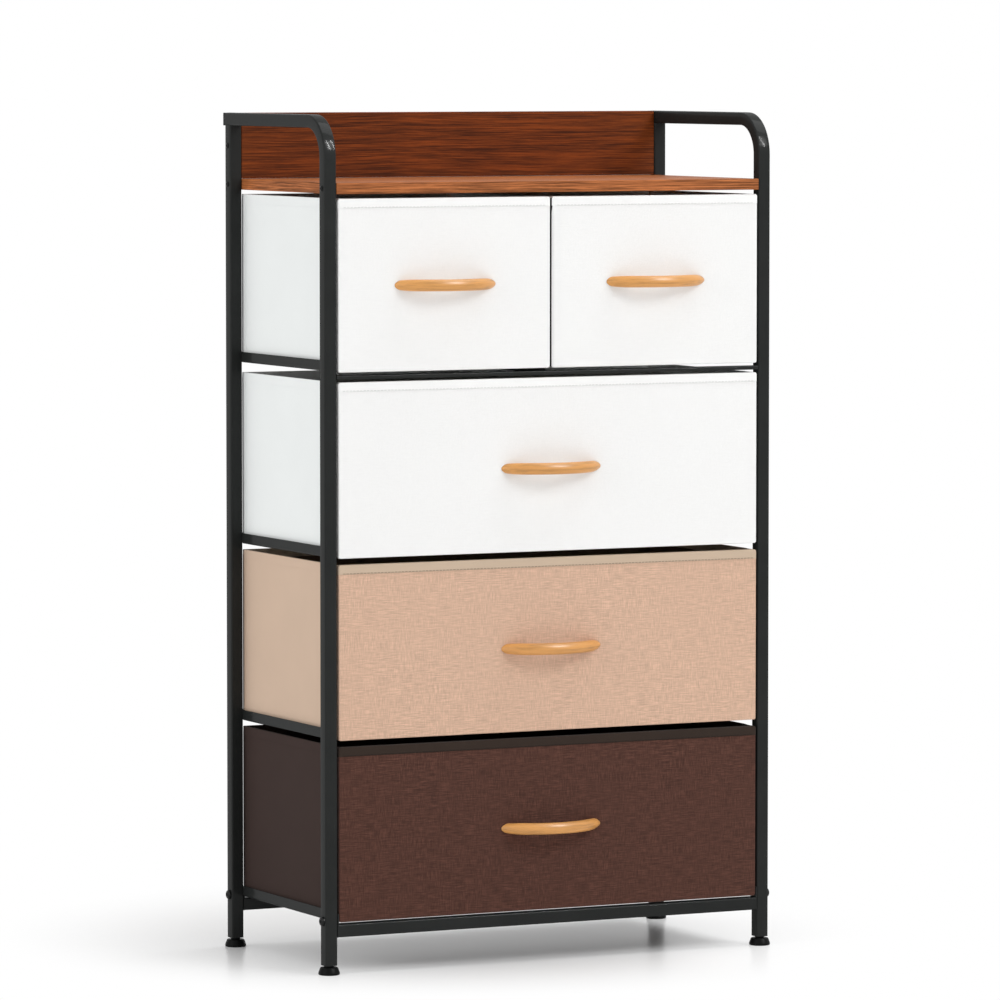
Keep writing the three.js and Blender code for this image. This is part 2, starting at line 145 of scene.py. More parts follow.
@contextmanager
def editing(piece):
    """Edit mode, with the whole piece selected at first."""
    choose(piece)
    bpy.ops.object.mode_set(mode="EDIT")
    pick_all()
    yield
    bpy.ops.object.mode_set(mode="OBJECT")


def pick_all():
    bpy.ops.mesh.select_all(action="SELECT")


def pick(piece, domain, test):
    """In edit mode, selects only the elements whose middle and direction pass the test.

    The direction is a face's normal or an edge's own direction.
    """
    bpy.ops.mesh.select_mode(type=domain)
    bpy.ops.mesh.select_all(action="DESELECT")
    mesh = bmesh.from_edit_mesh(piece.data)
    mesh.normal_update()
    if domain == "FACE":
        for face in mesh.faces:
            face.select_set(test(face.calc_center_median(), face.normal))
    else:
        for edge in mesh.edges:
            a, b = (vertex.co for vertex in edge.verts)
            edge.select_set(test((a + b) / 2, (b - a).normalized()))
    mesh.select_flush_mode()
    bmesh.update_edit_mesh(piece.data)


def along(direction, axis):
    return abs(direction.dot(axis)) > PARALLEL


def across(direction, axis):
    return abs(direction.dot(axis)) < ACROSS


def faces(normal, axis):
    return normal.dot(axis) > FACING


def near(a, b):
    return abs(a - b) < TOUCHING


def clamped(value):
    """The value, held between 0 and 1."""
    return min(1.0, max(0.0, value))


def extrude(step):
    bpy.ops.mesh.extrude_region_move(TRANSFORM_OT_translate={"value": step})


def bevel_picked(piece, radius, segments, test):
    """In edit mode, bevels the edges whose middle and direction pass the test."""
    pick(piece, "EDGE", test)
    bpy.ops.mesh.bevel(offset=radius, segments=segments, affect="EDGES")


def round_edges(piece, radius, segments, test):
    """Bevels the edges that pass the test, only as far as their roundings don't overlap."""
    with editing(piece):
        pick(piece, "EDGE", test)
        bpy.ops.mesh.bevel(offset=radius, segments=segments, affect="EDGES", clamp_overlap=True)


def face_outwards(piece):
    with editing(piece):
        bpy.ops.mesh.remove_doubles(threshold=DOUBLED)
        bpy.ops.mesh.normals_make_consistent(inside=False)


def face_towards(sheet, direction):
    """Turns an open folded sheet so that its broadest part looks in the direction."""
    with editing(sheet):
        bpy.ops.mesh.normals_make_consistent(inside=False)
    broadest = max(sheet.data.polygons, key=lambda face: abs(face.normal.dot(direction)) * face.area)
    if broadest.normal.dot(direction) < 0:
        with editing(sheet):
            bpy.ops.mesh.flip_normals()


def apply_modifier(piece, kind, **settings):
    choose(piece)
    modifier = piece.modifiers.new(kind.title(), kind)
    for name, value in settings.items():
        setattr(modifier, name, value)
    bpy.ops.object.modifier_apply(modifier=modifier.name)


def thicken(piece, thickness, inner_look=0):
    """Gives an open shell a wall on its inner side, which can have a material of its own."""
    for _ in range(inner_look + 1):
        piece.data.materials.append(None)
    apply_modifier(
        piece,
        "SOLIDIFY",
        thickness=thickness,
        offset=-1,
        use_even_offset=True,
        material_offset=inner_look,
    )


def cut_out(piece, tool):
    """Cuts the tool's shape out of the piece and takes the tool away."""
    apply_modifier(piece, "BOOLEAN", operation="DIFFERENCE", object=tool, solver="EXACT")
    bpy.data.objects.remove(tool)


def cut_grid(piece, axis, places):
    """Cuts the whole mesh across the axis at each place."""
    with editing(piece):
        for place in places:
            pick_all()
            bpy.ops.mesh.bisect(plane_co=axis * place, plane_no=axis)


def in_metres(profile):
    """The rings of a profile that is written in millimetres."""
    return [(radius / 1000, height / 1000) for radius, height in profile]


def spread(low, high, count):
    """Count places evenly spaced between low and high, without the ends."""
    return [low + (high - low) * (i + 1) / (count + 1) for i in range(count)]


def shade(piece, angle=35):
    """Smooth shading that leaves broad flats looking flat."""
    choose(piece)
    bpy.ops.object.shade_smooth_by_angle(angle=math.radians(angle))
    apply_modifier(piece, "WEIGHTED_NORMAL", keep_sharp=True, weight=80)


def shade_and_map(piece, angle=35):
    """Shades the piece and gives it a UV map in metres, laid on from the side that each face looks to."""
    shade(piece, angle)
    mesh = piece.data
    layer = mesh.uv_layers[0] if mesh.uv_layers else mesh.uv_layers.new(name="flat")
    layer.name = "flat"
    for face in mesh.polygons:
        facing = max(range(3), key=lambda i: abs(face.normal[i]))
        u, v = ((1, 2), (0, 2), (0, 1))[facing]
        for corner in face.loop_indices:
            place = mesh.vertices[mesh.loops[corner].vertex_index].co
            layer.data[corner].uv = (place[u], place[v])


def copy_to(piece, step, name):
    """A copy with its own mesh, moved inside that mesh."""
    twin = piece.copy()
    twin.data = piece.data.copy()
    twin.data.transform(Matrix.Translation(step))
    twin.name = twin.data.name = name
    bpy.context.scene.collection.objects.link(twin)
    return twin


def copy_for(piece, node, other_node, name):
    """A copy of one node's piece for a like node elsewhere."""
    return copy_to(piece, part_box(other_node)[0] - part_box(node)[0], name)


def join_pieces(name, pieces):
    choose(*pieces)
    bpy.ops.object.join()
    joined = bpy.context.object
    joined.name = joined.data.name = name
    return joined


# Finishes

WHITE = (1, 1, 1)
# A dark cloth colour that stands as painted shade in the narrow gap between the two small fronts
GAP_SHADE = "dark_tape"
# The shares of a linen's colour in its dark and light threads, and the noise between its middle
# and either of them
LINEN_SHADES = {"white": (0.97, 1.02, 0.2), "tan": (0.82, 1.22, 0.12), "brown": (0.62, 1.6, 0.11)}
# How far the fibres of a felt lie from its colour
FELT_SHADES = {"white": 0.015, "tan": 0.03, "brown": 0.08}
# The share of the hem's colour in its stitches
THREAD_SHADES = {"white": 0.8, "tan": 0.58, "brown": 0.7}
# Threads of the weave and dots of the emboss, per metre
LINEN_WEAVE, FELT_EMBOSS = 1300.0, 450.0


def srgb(*channels):
    """Linear colour of 0 to 255 screen values."""
    return tuple(
        c / 255 / 12.92 if c / 255 <= 0.04045 else ((c / 255 + 0.055) / 1.055) ** 2.4
        for c in channels
    )


def tinted(colour, amount):
    """The colour times the amount, with no channel past white."""
    return tuple(min(1.0, c * amount) for c in colour)


def shades(colour, low, high):
    """A darker shade, the colour itself and a lighter shade."""
    return [tinted(colour, amount) for amount in (low, 1.0, high)]


def opaque(colour):
    """A plain colour with its alpha, or a socket as it is."""
    return colour if isinstance(colour, bpy.types.NodeSocket) else (*colour, 1)


class Nodes:
    """A node tree under construction, with short ways to add its nodes."""

    def __init__(self, tree):
        self.tree = tree

    def node(self, kind, sockets, **settings):
        made = self.tree.nodes.new("ShaderNode" + kind)
        for name, value in settings.items():
            setattr(made, name, value)
        for name, value in sockets.items():
            self.feed(made.inputs[name], value)
        return made

    def feed(self, socket, value):
        if isinstance(value, bpy.types.NodeSocket):
            self.tree.links.new(value, socket)
        else:
            socket.default_value = value

    def maths(self, operation, a, b):
        return self.node("Math", {0: a, 1: b}, operation=operation).outputs[0]

    def ranged(self, value, low, high, to_low=0, to_high=1, **settings):
        sockets = {
            "Value": value,
            "From Min": low,
            "From Max": high,
            "To Min": to_low,
            "To Max": to_high,
        }
        return self.node("MapRange", sockets, **settings).outputs["Result"]

    def is_seen(self):
        """1 for what the camera sees, straight, in a reflection or through glass, and 0 for other rays."""
        rays = self.node("LightPath", {}).outputs
        straight_or_mirrored = self.maths("MAXIMUM", rays["Is Camera Ray"], rays["Is Glossy Ray"])
        return self.maths("MAXIMUM", straight_or_mirrored, rays["Is Transmission Ray"])

    def mixed_shader(self, amount, a, b):
        return self.node("MixShader", {0: amount, 1: a, 2: b}).outputs[0]


class Finish(Nodes):
    """A material under construction, built round one Principled shader."""

    def __init__(self, name, roughness, specular):
        self.material = bpy.data.materials.new(name)
        self.material.use_nodes = True
        super().__init__(self.material.node_tree)
        self.shader = self.tree.nodes["Principled BSDF"]
        self.set("Roughness", roughness)
        self.set("Specular IOR Level", specular)

    def set(self, socket, value):
        self.feed(self.shader.inputs[socket], value)

    def colour(self, value):
        self.set("Base Color", opaque(value))

    def object_place(self):
        return self.node("TexCoord", {}).outputs["Object"]

    def flat_place(self):
        return self.node("UVMap", {}, uv_map="flat").outputs["UV"]

    def cloud(self, place, scale, detail=2.0, roughness=0.5, distortion=0.0):
        sockets = {
            "Vector": place,
            "Scale": scale,
            "Detail": detail,
            "Roughness": roughness,
            "Distortion": distortion,
        }
        return self.node("TexNoise", sockets).outputs["Fac"]

    def streaks(self, place, scale, detail=2.0, roughness=0.5, start=(0, 0, 0)):
        """Noise with a scale of its own along each axis."""
        stretched = self.node("Mapping", {"Vector": place, "Scale": scale, "Location": start})
        return self.cloud(stretched.outputs["Vector"], 1.0, detail, roughness)

    def weighed(self, a, share_of_a, b, share_of_b):
        """Adds two values, each times its share."""
        return self.maths(
            "ADD", self.maths("MULTIPLY", a, share_of_a), self.maths("MULTIPLY", b, share_of_b)
        )

    def blend(self, amount, a, b):
        """Mixes two colours."""
        sockets = {0: amount, 6: opaque(a), 7: opaque(b)}
        return self.node("Mix", sockets, data_type="RGBA").outputs[2]

    def three_tones(self, value, low, middle, high, tones):
        """Passes through a dark, a middle and a light tone as the value rises."""
        dark, plain, light = tones
        body = self.blend(self.ranged(value, low, middle), dark, plain)
        return self.blend(self.ranged(value, middle, high), body, light)

    def weave(self, place, per_metre):
        """The height of rows of threads, across and upright, that pass over each other in turn."""
        parts = self.node("SeparateXYZ", {"Vector": place})
        waves = [
            self.maths("SINE", self.maths("MULTIPLY", parts.outputs[i], 2 * math.pi * per_metre), 0.0)
            for i in (0, 1)
        ]
        return self.maths("MULTIPLY", *waves)

    def raised(self, height, depth, strength, under=None):
        """The surface's normal over bumps of this depth, which can lie on other bumps."""
        sockets = {"Height": height, "Distance": depth, "Strength": strength}
        if under:
            sockets["Normal"] = under
        return self.node("Bump", sockets).outputs["Normal"]


def powder_coat(name, colour, roughness, specular, gloss=0.0):
    """Satin powder coat: a fine orange peel, a slightly uneven sheen and a glossier skin."""
    coat = Finish(name, roughness, specular)
    place = coat.object_place()
    uneven = coat.cloud(place, scale=26, detail=3)
    coat.colour(coat.blend(uneven, tinted(colour, 0.8), tinted(colour, 1.2)))
    coat.set("Roughness", coat.ranged(uneven, 0.3, 0.7, roughness - 0.05, roughness + 0.05))
    peel = coat.cloud(place, scale=900, detail=1)
    coat.set("Normal", coat.raised(peel, depth=0.00006, strength=0.5))
    coat.set("Coat Weight", gloss)
    coat.set("Coat Roughness", 0.1)
    return coat.material


def moulded_plastic(name, colour):
    plastic = Finish(name, roughness=0.4, specular=0.06)
    place = plastic.object_place()
    plastic.colour(plastic.blend(plastic.cloud(place, scale=60), colour, tinted(colour, 1.5)))
    matt = plastic.cloud(place, scale=2600, detail=1)
    plastic.set("Normal", plastic.raised(matt, depth=0.00005, strength=0.4))
    return plastic.material


def wood_grain(name, tones, fineness=1.0):
    """Grain along each face: broad figure, wavy lines and short pores over one another."""
    wood = Finish(name, roughness=0.5, specular=0.07)
    place = wood.flat_place()
    wander = wood.ranged(wood.streaks(place, (4, 9, 1)), 0, 1, to_high=0.007)
    bent = wood.node("VectorMath", {0: place, 1: wander}, operation="ADD").outputs[0]
    figure = wood.streaks(bent, (4, 130 * fineness, 1), detail=3, roughness=0.6)
    lines = wood.streaks(bent, (15, 620 * fineness, 1), detail=4, roughness=0.7, start=(3, 1, 0))
    pores = wood.streaks(place, (60, 1100, 1), start=(1, 4, 0))
    tone = wood.weighed(figure, 0.35, lines, 0.65)
    body = wood.three_tones(tone, 0.41, 0.5, 0.59, tones)
    wood.colour(wood.blend(wood.ranged(pores, 0.6, 0.78, to_high=0.5), body, tones[0]))
    wood.set("Roughness", wood.ranged(tone, 0.35, 0.65, 0.56, 0.44))
    height = wood.maths("ADD", lines, pores)
    wood.set("Normal", wood.raised(height, depth=0.00012, strength=0.3))
    return wood.material


def lacquered_beech(name, tones):
    beech = Finish(name, roughness=0.34, specular=0.42)
    place = beech.object_place()
    figure = beech.streaks(place, (9, 60, 330), detail=3, roughness=0.6)
    flecks = beech.streaks(place, (90, 900, 1500), detail=1)
    body = beech.three_tones(figure, 0.36, 0.5, 0.66, tones)
    beech.colour(beech.blend(beech.ranged(flecks, 0.62, 0.78, to_high=0.25), body, tones[0]))
    beech.set("Normal", beech.raised(figure, depth=0.0001, strength=0.15))
    return beech.material


def pressed_fibre(name, colour):
    fibre = Finish(name, roughness=0.85, specular=0.2)
    specks = fibre.cloud(fibre.object_place(), scale=900, detail=3, roughness=0.7)
    fibre.colour(fibre.blend(fibre.ranged(specks, 0.35, 0.7), tinted(colour, 0.75), colour))
    fibre.set("Normal", fibre.raised(specks, depth=0.0002, strength=0.4))
    return fibre.material


def linen(name, tones, contrast):
    """Woven cloth whose thicker threads cross each other in long runs, more across than upright."""
    cloth = Finish(name, roughness=0.9, specular=0.12)
    place = cloth.flat_place()
    level = cloth.streaks(place, (62, 760, 1), detail=3, roughness=0.65)
    upright = cloth.streaks(place, (800, 78, 1), detail=3, roughness=0.65, start=(7, 3, 0))
    patches = cloth.streaks(place, (30, 30, 1), start=(2, 5, 0))
    share_of_level = cloth.ranged(patches, 0.35, 0.65, 0.35, 0.8)
    share_of_upright = cloth.maths("SUBTRACT", 1.0, share_of_level)
    thread = cloth.weighed(level, share_of_level, upright, share_of_upright)
    threads = cloth.three_tones(thread, 0.5 - contrast, 0.5, 0.5 + contrast, tones)
    cloudy = cloth.streaks(place, (9, 9, 1), start=(4, 1, 0))
    cloth.colour(cloth.blend(cloth.ranged(cloudy, 0.3, 0.7, to_high=0.35), threads, tones[1]))
    weave = cloth.raised(cloth.weave(place, LINEN_WEAVE), depth=0.00012, strength=0.5)
    cloth.set("Normal", cloth.raised(thread, depth=0.00035, strength=0.5, under=weave))
    cloth.set("Sheen Weight", 0.08)
    return cloth.material


def felted(name, colour, contrast):
    """Pressed non-woven cloth: tangled fibres with a faint dot emboss."""
    cloth = Finish(name, roughness=0.92, specular=0.1)
    place = cloth.flat_place()
    fibres = cloth.cloud(place, scale=1400, detail=4, roughness=0.7, distortion=1.2)
    cloudy = cloth.cloud(place, scale=14, detail=3)
    mixture = cloth.weighed(fibres, 0.4, cloudy, 0.6)
    dark, light = tinted(colour, 1 - contrast), tinted(colour, 1 + contrast)
    cloth.colour(cloth.blend(cloth.ranged(mixture, 0.3, 0.7), dark, light))
    dots = cloth.raised(cloth.weave(place, FELT_EMBOSS), depth=0.00006, strength=0.5)
    cloth.set("Normal", cloth.raised(mixture, depth=0.0004, strength=0.35, under=dots))
    cloth.set("Sheen Weight", 0.05)
    return cloth.material


def finish(name):
    """The named finish, made when it is first asked for."""
    if name in bpy.data.materials:
        return bpy.data.materials[name]
    colours = bpy.context.scene.dresser_colours
    makers = {
        "satin_black_steel": lambda: powder_coat(
            name, colours.steel, roughness=0.42, specular=0.02, gloss=0.13
        ),
        "black_oxide_bolt": lambda: powder_coat(
            name, colours.bolt, roughness=0.3, specular=0.12, gloss=0.2
        ),
        "plated_screw": lambda: powder_coat(name, colours.screw, roughness=0.3, specular=0.5),
        "black_moulding": lambda: moulded_plastic(name, colours.plastic),
        "chestnut_top": lambda: wood_grain(name, shades(colours.tabletop, 0.42, 1.7)),
        "chestnut_panel": lambda: wood_grain(name, shades(colours.back_panel, 0.42, 1.75), 1.1),
        "beech_handle": lambda: lacquered_beech(name, shades(colours.handle, 0.78, 1.1)),
        "raw_fibreboard": lambda: pressed_fibre(name, colours.fibreboard),
        # Painted shade in the narrow gap between the small fronts
        GAP_SHADE: lambda: felted(name, colours.middle_gap_shade, 0.1),
    }
    return makers[name]() if name in makers else tinted_cloth(name, colours)


def tinted_cloth(name, colours):
    """The cloth or thread whose name is its tint and its kind."""
    tint_name, kind = name.split("_")
    if kind == "thread":
        binding = getattr(colours, tint_name + "_binding")
        return felted(name, tinted(binding, THREAD_SHADES[tint_name]), 0.1)
    colour = getattr(colours, name)
    if kind == "linen":
        low, high, contrast = LINEN_SHADES[tint_name]
        return linen(name, shades(colour, low, high), contrast)
    return felted(name, colour, FELT_SHADES[tint_name])


# Putting pieces in place


def place_on(piece, body, materials, nodes=()):
    """Gives the piece its materials and body, and hides the CAD nodes it stands for."""
    looks = [face.material_index for face in piece.data.polygons]
    piece.data.materials.clear()
    for name in materials:
        piece.data.materials.append(finish(name))
    for face, look in zip(piece.data.polygons, looks):
        face.material_index = look
    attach(piece, body)
    if nodes:
        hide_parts(*nodes)


def place_steel(piece, node):
    """Shades a coated steel piece and puts it on the frame for its CAD node."""
    shade(piece)
    place_on(piece, "frame", ["satin_black_steel"], [node])


def place_cloth(piece, drawer, kinds, nodes=()):
    """Puts a cloth piece on its drawer, with these kinds of cloth in the drawer's tint."""
    tint_name = DRAWERS[drawer]
    looks = [GAP_SHADE if kind == GAP_SHADE else f"{tint_name}_{kind}" for kind in kinds]
    place_on(piece, drawer, looks, nodes)


def coat_node(node, look):
    """Gives a finish to a CAD node that stays in the scene."""
    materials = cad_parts[node].data.materials
    materials.clear()
    materials.append(finish(look))


# Sizes and colours that a user would change


def length(name, description, default):
    return FloatProperty(name=name, description=description, default=default, unit="LENGTH", precision=4)


def power(name, description, default):
    return FloatProperty(name=name, description=description, default=default, unit="POWER")


def tint(name, description, colour):
    return FloatVectorProperty(
        name=name, description=description, default=colour, subtype="COLOR", size=3, min=0, max=1
    )


class DresserSizes(bpy.types.PropertyGroup):
    """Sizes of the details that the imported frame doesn't give"""

    tube_corner: length("Tube corner", "Rounding of the square tube's corners", 0.0017)
    tube_crown: length("Tube crown", "How far the tube's faces swell", 0.0002)
    bend_radius: length("Hand rail bend", "Middle radius of the bend from post to hand rail", 0.042)
    weld: length("Weld", "How far a rear post runs into its hand rail", 0.0008)
    rail_sheet: length("Rail sheet", "Thickness of the sheet that the side rails are bent from", 0.0012)
    rail_bend: length("Rail bend", "Outer radius of the side rails' fold", 0.0024)
    bar_ease: length("Slim bar ease", "Shadow gap above and below the slim bar at the front", 0.0007)
    bar_corner: length("Slim bar corner", "Rounding of the slim bar's long edges", 0.0011)
    end_plate: length("End plate", "Thickness of the bottom crossbars' end plates", 0.0015)
    wood_edge: length("Wood edge", "Easing of the tabletop's and back panel's edges", 0.0009)
    fabric: length("Fabric", "Thickness of a drawer's fabric wall", 0.002)
    fabric_corner: length("Fabric corner", "Rounding of a drawer's upright corners", 0.0022)
    panel_depth: length("Front depth", "Depth of the padded board at a drawer's front", 0.0068)
    panel_edge: length("Front edge", "Rounding of the padded front's edges", 0.0013)
    front_gap: length("Front gap", "Shadow gap under a drawer's front", 0.0007)
    rolled_edge: length("Rolled edge", "Width of the soft left edge of the right small front", 0.0045)
    front_corner: length("Front corner", "Rounding of the front's four corners", 0.0024)
    hem: length("Hem", "Height of the binding round a drawer's rim", 0.0105)
    hem_cloth: length("Hem cloth", "Thickness of the binding", 0.0004)
    seam_width: length("Seam width", "How far the corner seams reach round the rear corners", 0.0075)
    seam_cloth: length("Seam cloth", "Thickness of the corner seams", 0.0003)
    hem_corner: length("Hem corner", "How far the rim drops round the corners of the fronts", 0.0036)
    slack: length("Slack", "How far the fabric walls wander in and out", 0.0006)
    stitch: length("Stitch", "Length of a stitch along the hems", 0.0032)
    stitch_pitch: length("Stitch pitch", "From one stitch to the next", 0.0044)


class DresserColours(bpy.types.PropertyGroup):
    """Colours of the finishes"""

    steel: tint("Steel", "Powder coat of the frame", (0.0196, 0.0209, 0.0203))
    bolt: tint("Bolts", "Blackened bolt heads", (0.004, 0.0042, 0.0042))
    screw: tint("Screws", "Plated screws and washers inside the drawers", (0.5, 0.5, 0.48))
    plastic: tint("Plastic", "Feet and caps", (0.0034, 0.0037, 0.0036))
    tabletop: tint("Tabletop", "Middle tone of the tabletop's grain", srgb(156, 93, 53))
    back_panel: tint("Back panel", "Middle tone of the back panel's grain", srgb(106, 49, 14))
    handle: tint("Handle", "Middle tone of the handles' wood", srgb(211, 151, 84))
    fibreboard: tint("Fibreboard", "Boards inside the drawers", srgb(178, 152, 118))
    # Painted shade: the dark colour on the left edge of the right small front, in the shaded gap
    middle_gap_shade: tint("Gap shade", "Left edge of the right small front, in the gap", srgb(34, 34, 33))
    white_linen: tint("White front", "Front cloth of the white drawers", srgb(245, 245, 244))
    white_felt: tint("White body", "Body cloth of the white drawers", srgb(242, 245, 244))
    white_binding: tint("White hem", "Hem on the white fronts", srgb(244, 244, 243))
    # The linings are cloth, made darker than the outside as painted shade inside the closed drawers
    white_lining: tint("White lining", "Inside of the white drawers", srgb(165, 162, 158))
    tan_linen: tint("Tan front", "Front cloth of the tan drawer", srgb(211, 176, 152))
    tan_felt: tint("Tan body", "Body cloth of the tan drawer", srgb(210, 184, 162))
    tan_binding: tint("Tan hem", "Hem on the tan front", srgb(198, 177, 155))
    # Darker than the body as painted shade inside the closed drawer
    tan_lining: tint("Tan lining", "Inside of the tan drawer", srgb(112, 92, 74))
    brown_linen: tint("Brown front", "Front cloth of the brown drawer", srgb(80, 51, 42))
    brown_felt: tint("Brown body", "Body cloth of the brown drawer", srgb(58, 44, 40))
    brown_binding: tint("Brown hem", "Hem on the brown front", srgb(52, 42, 36))
    # Darker than the body as painted shade inside the closed drawer
    brown_lining: tint("Brown lining", "Inside of the brown drawer", srgb(36, 28, 25))


class DresserStudio(bpy.types.PropertyGroup):
    """Lamps, floor and camera"""

    key_power: power("Key", "Power of the front lamp", 60)
    strip_power: power("Strips", "Power of the two strips that glint on the bends", 85)
    fill_power: power("Fill", "Power of the side lamp", 38)
    top_power: power("Top", "Power of the lamp overhead", 60)
    sky: FloatProperty(name="Sky", description="Strength of the even light all round", default=0.64)
    lens: FloatProperty(name="Lens", description="Focal length in mm", default=232.69)
    floor_radius: length("Floor", "Half the width of the floor", 30.0)
    floor_steps: IntProperty(name="Floor steps", description="Cuts in each side of the floor", default=3)


# The frame


class DRESSER_OT_side_tubes(bpy.types.Operator):
    """Bends the two tubes that are a front post and a hand rail each, and cuts the rear posts"""

    bl_idname = "dresser.side_tubes"
    bl_label = "Posts and hand rails"

    def execute(self, context):
        sizes = context.scene.dresser_sizes
        for side in SIDES:
            self.bend_tube(side, sizes)
            self.cut_post(side, sizes)
        return {"FINISHED"}

    def bend_tube(self, side, sizes):
        node = f"{side}_post_and_hand_rail"
        low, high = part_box(node)
        width = high.x - low.x
        foot_high = Vector((high.x, low.y + width, low.z))
        tube = add_sheet(f"{side}_hand_rail_tube", low, foot_high)
        self.round_section(tube, sizes)
        middle = (low + foot_high) / 2
        bend_start = high.z - width / 2 - sizes.bend_radius
        centre = Vector((middle.x, middle.y + sizes.bend_radius, bend_start))
        with editing(tube):
            extrude(Z_AXIS * (bend_start - low.z))
            bpy.ops.mesh.spin(steps=24, angle=math.pi / 2, center=centre, axis=(1, 0, 0))
            extrude(Y_AXIS * (high.y - centre.y))
        face_outwards(tube)
        place_steel(tube, node)

    def cut_post(self, side, sizes):
        node = f"{side}_rear_post"
        low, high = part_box(node)
        post = add_sheet(node + "_tube", low, high)
        self.round_section(post, sizes)
        with editing(post):
            extrude(Z_AXIS * (high.z - low.z + sizes.weld))
        face_outwards(post)
        place_steel(post, node)

    def round_section(self, tube, sizes):
        """Rounds the corners of the square section and lets its flats swell a little."""
        corners = [vertex.co.copy() for vertex in tube.data.vertices]
        middle = sum(corners, Vector()) / len(corners)
        half = abs(corners[0].x - middle.x)
        with editing(tube):
            bpy.ops.mesh.bevel(offset=sizes.tube_corner, segments=5, affect="VERTICES")
            pick(tube, "EDGE", lambda place, way: along(way, X_AXIS) or along(way, Y_AXIS))
            bpy.ops.mesh.subdivide(number_cuts=5)
        flat = half - sizes.tube_corner
        for vertex in tube.data.vertices:
            away = vertex.co - middle
            for axis, other in ((0, 1), (1, 0)):
                if near(abs(away[axis]), half) and abs(away[other]) < flat:
                    swell = sizes.tube_crown * (1 - (away[other] / flat) ** 2)
                    vertex.co[axis] += math.copysign(swell, away[axis])


class DRESSER_OT_rail_caps(bpy.types.Operator):
    """Moulds the caps in the rear ends of the hand rails"""

    bl_idname = "dresser.rail_caps"
    bl_label = "Hand rail caps"

    # From the tube's end to the cap, the step in from the cap to its plug, and the cap's rounding
    GAP, PLUG_INSET, EDGE = 0.0007, 0.0012, 0.0009

    def execute(self, context):
        for side in SIDES:
            node = f"{side}_hand_rail_cap"
            low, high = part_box(node)
            tube_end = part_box(f"{side}_post_and_hand_rail")[1].y
            cap = add_block(f"{side}_rail_cap", Vector((low.x, tube_end + self.GAP, low.z)), high)
            with editing(cap):
                pick(cap, "FACE", lambda place, normal: faces(normal, -Y_AXIS))
                bpy.ops.mesh.inset(thickness=self.PLUG_INSET)
                extrude(Y_AXIS * (low.y - tube_end))
            round_edges(cap, self.EDGE, 3, lambda place, way: place.y > tube_end)
            shade(cap)
            place_on(cap, "frame", ["black_moulding"], [node])
        return {"FINISHED"}


class DRESSER_OT_side_rails(bpy.types.Operator):
    """Folds the eight angle rails that the drawers slide on, and finishes the centre rail"""

    bl_idname = "dresser.side_rails"
    bl_label = "Side rails"

    def execute(self, context):
        sizes = context.scene.dresser_sizes
        for side, sign in SIDES.items():
            for row in ROWS:
                self.fold_rail(f"{side}_{row}", sign, sizes)
        coat_node("centre_rail", "satin_black_steel")
        return {"FINISHED"}

    def fold_rail(self, place_name, sign, sizes):
        node = place_name + "_rail"
        low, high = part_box(node)
        fold = low.x if sign < 0 else high.x
        rail = add_sheet(place_name + "_angle_rail", low, high)
        with editing(rail):
            pick(rail, "EDGE", lambda place, way: near(place.x, fold))
            extrude(Z_AXIS * (high.z - low.z))
            bevel_picked(
                rail,
                sizes.rail_bend,
                5,
                lambda place, way: near(place.x, fold) and near(place.z, low.z) and along(way, Y_AXIS),
            )
        face_towards(rail, -Z_AXIS)
        thicken(rail, sizes.rail_sheet)
        place_steel(rail, node)


class DRESSER_OT_crossbars(bpy.types.Operator):
    """Makes the bars between the side frames, the bottom two with their bolted end plates"""

    bl_idname = "dresser.crossbars"
    bl_label = "Crossbars"

    def execute(self, context):
        sizes = context.scene.dresser_sizes
        for place_name in ("front_top", "rear_middle", "rear_upper", "rear_top"):
            self.make_plain(place_name, sizes)
        for place_name in ("front_bottom", "rear_bottom"):
            self.make_bolted(place_name, sizes)
        return {"FINISHED"}

    def make_plain(self, place_name, sizes):
        node = place_name + "_crossbar"
        low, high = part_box(node)
        corner = sizes.tube_corner
        if place_name == "front_top":
            low.z += sizes.bar_ease
            high.z -= sizes.bar_ease
            corner = sizes.bar_corner
        bar = add_block(place_name + "_bar", low, high)
        round_edges(bar, corner, 5, lambda place, way: along(way, X_AXIS))
        place_steel(bar, node)

    def make_bolted(self, place_name, sizes):
        node = place_name + "_crossbar"
        low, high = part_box(node)
        bar_top = low.z + (high.y - low.y)
        bar = add_block(place_name + "_bar", low, Vector((high.x, high.y, bar_top)))
        inner = high.x - sizes.end_plate
        cut_grid(bar, X_AXIS, (-inner, inner))
        with editing(bar):
            pick(bar, "FACE", lambda place, normal: faces(normal, Z_AXIS) and abs(place.x) > inner)
            extrude(Z_AXIS * (high.z - bar_top))
        round_edges(
            bar, sizes.tube_corner, 5, lambda place, way: along(way, X_AXIS) and abs(place.x) < inner
        )
        face_outwards(bar)
        place_steel(bar, node)


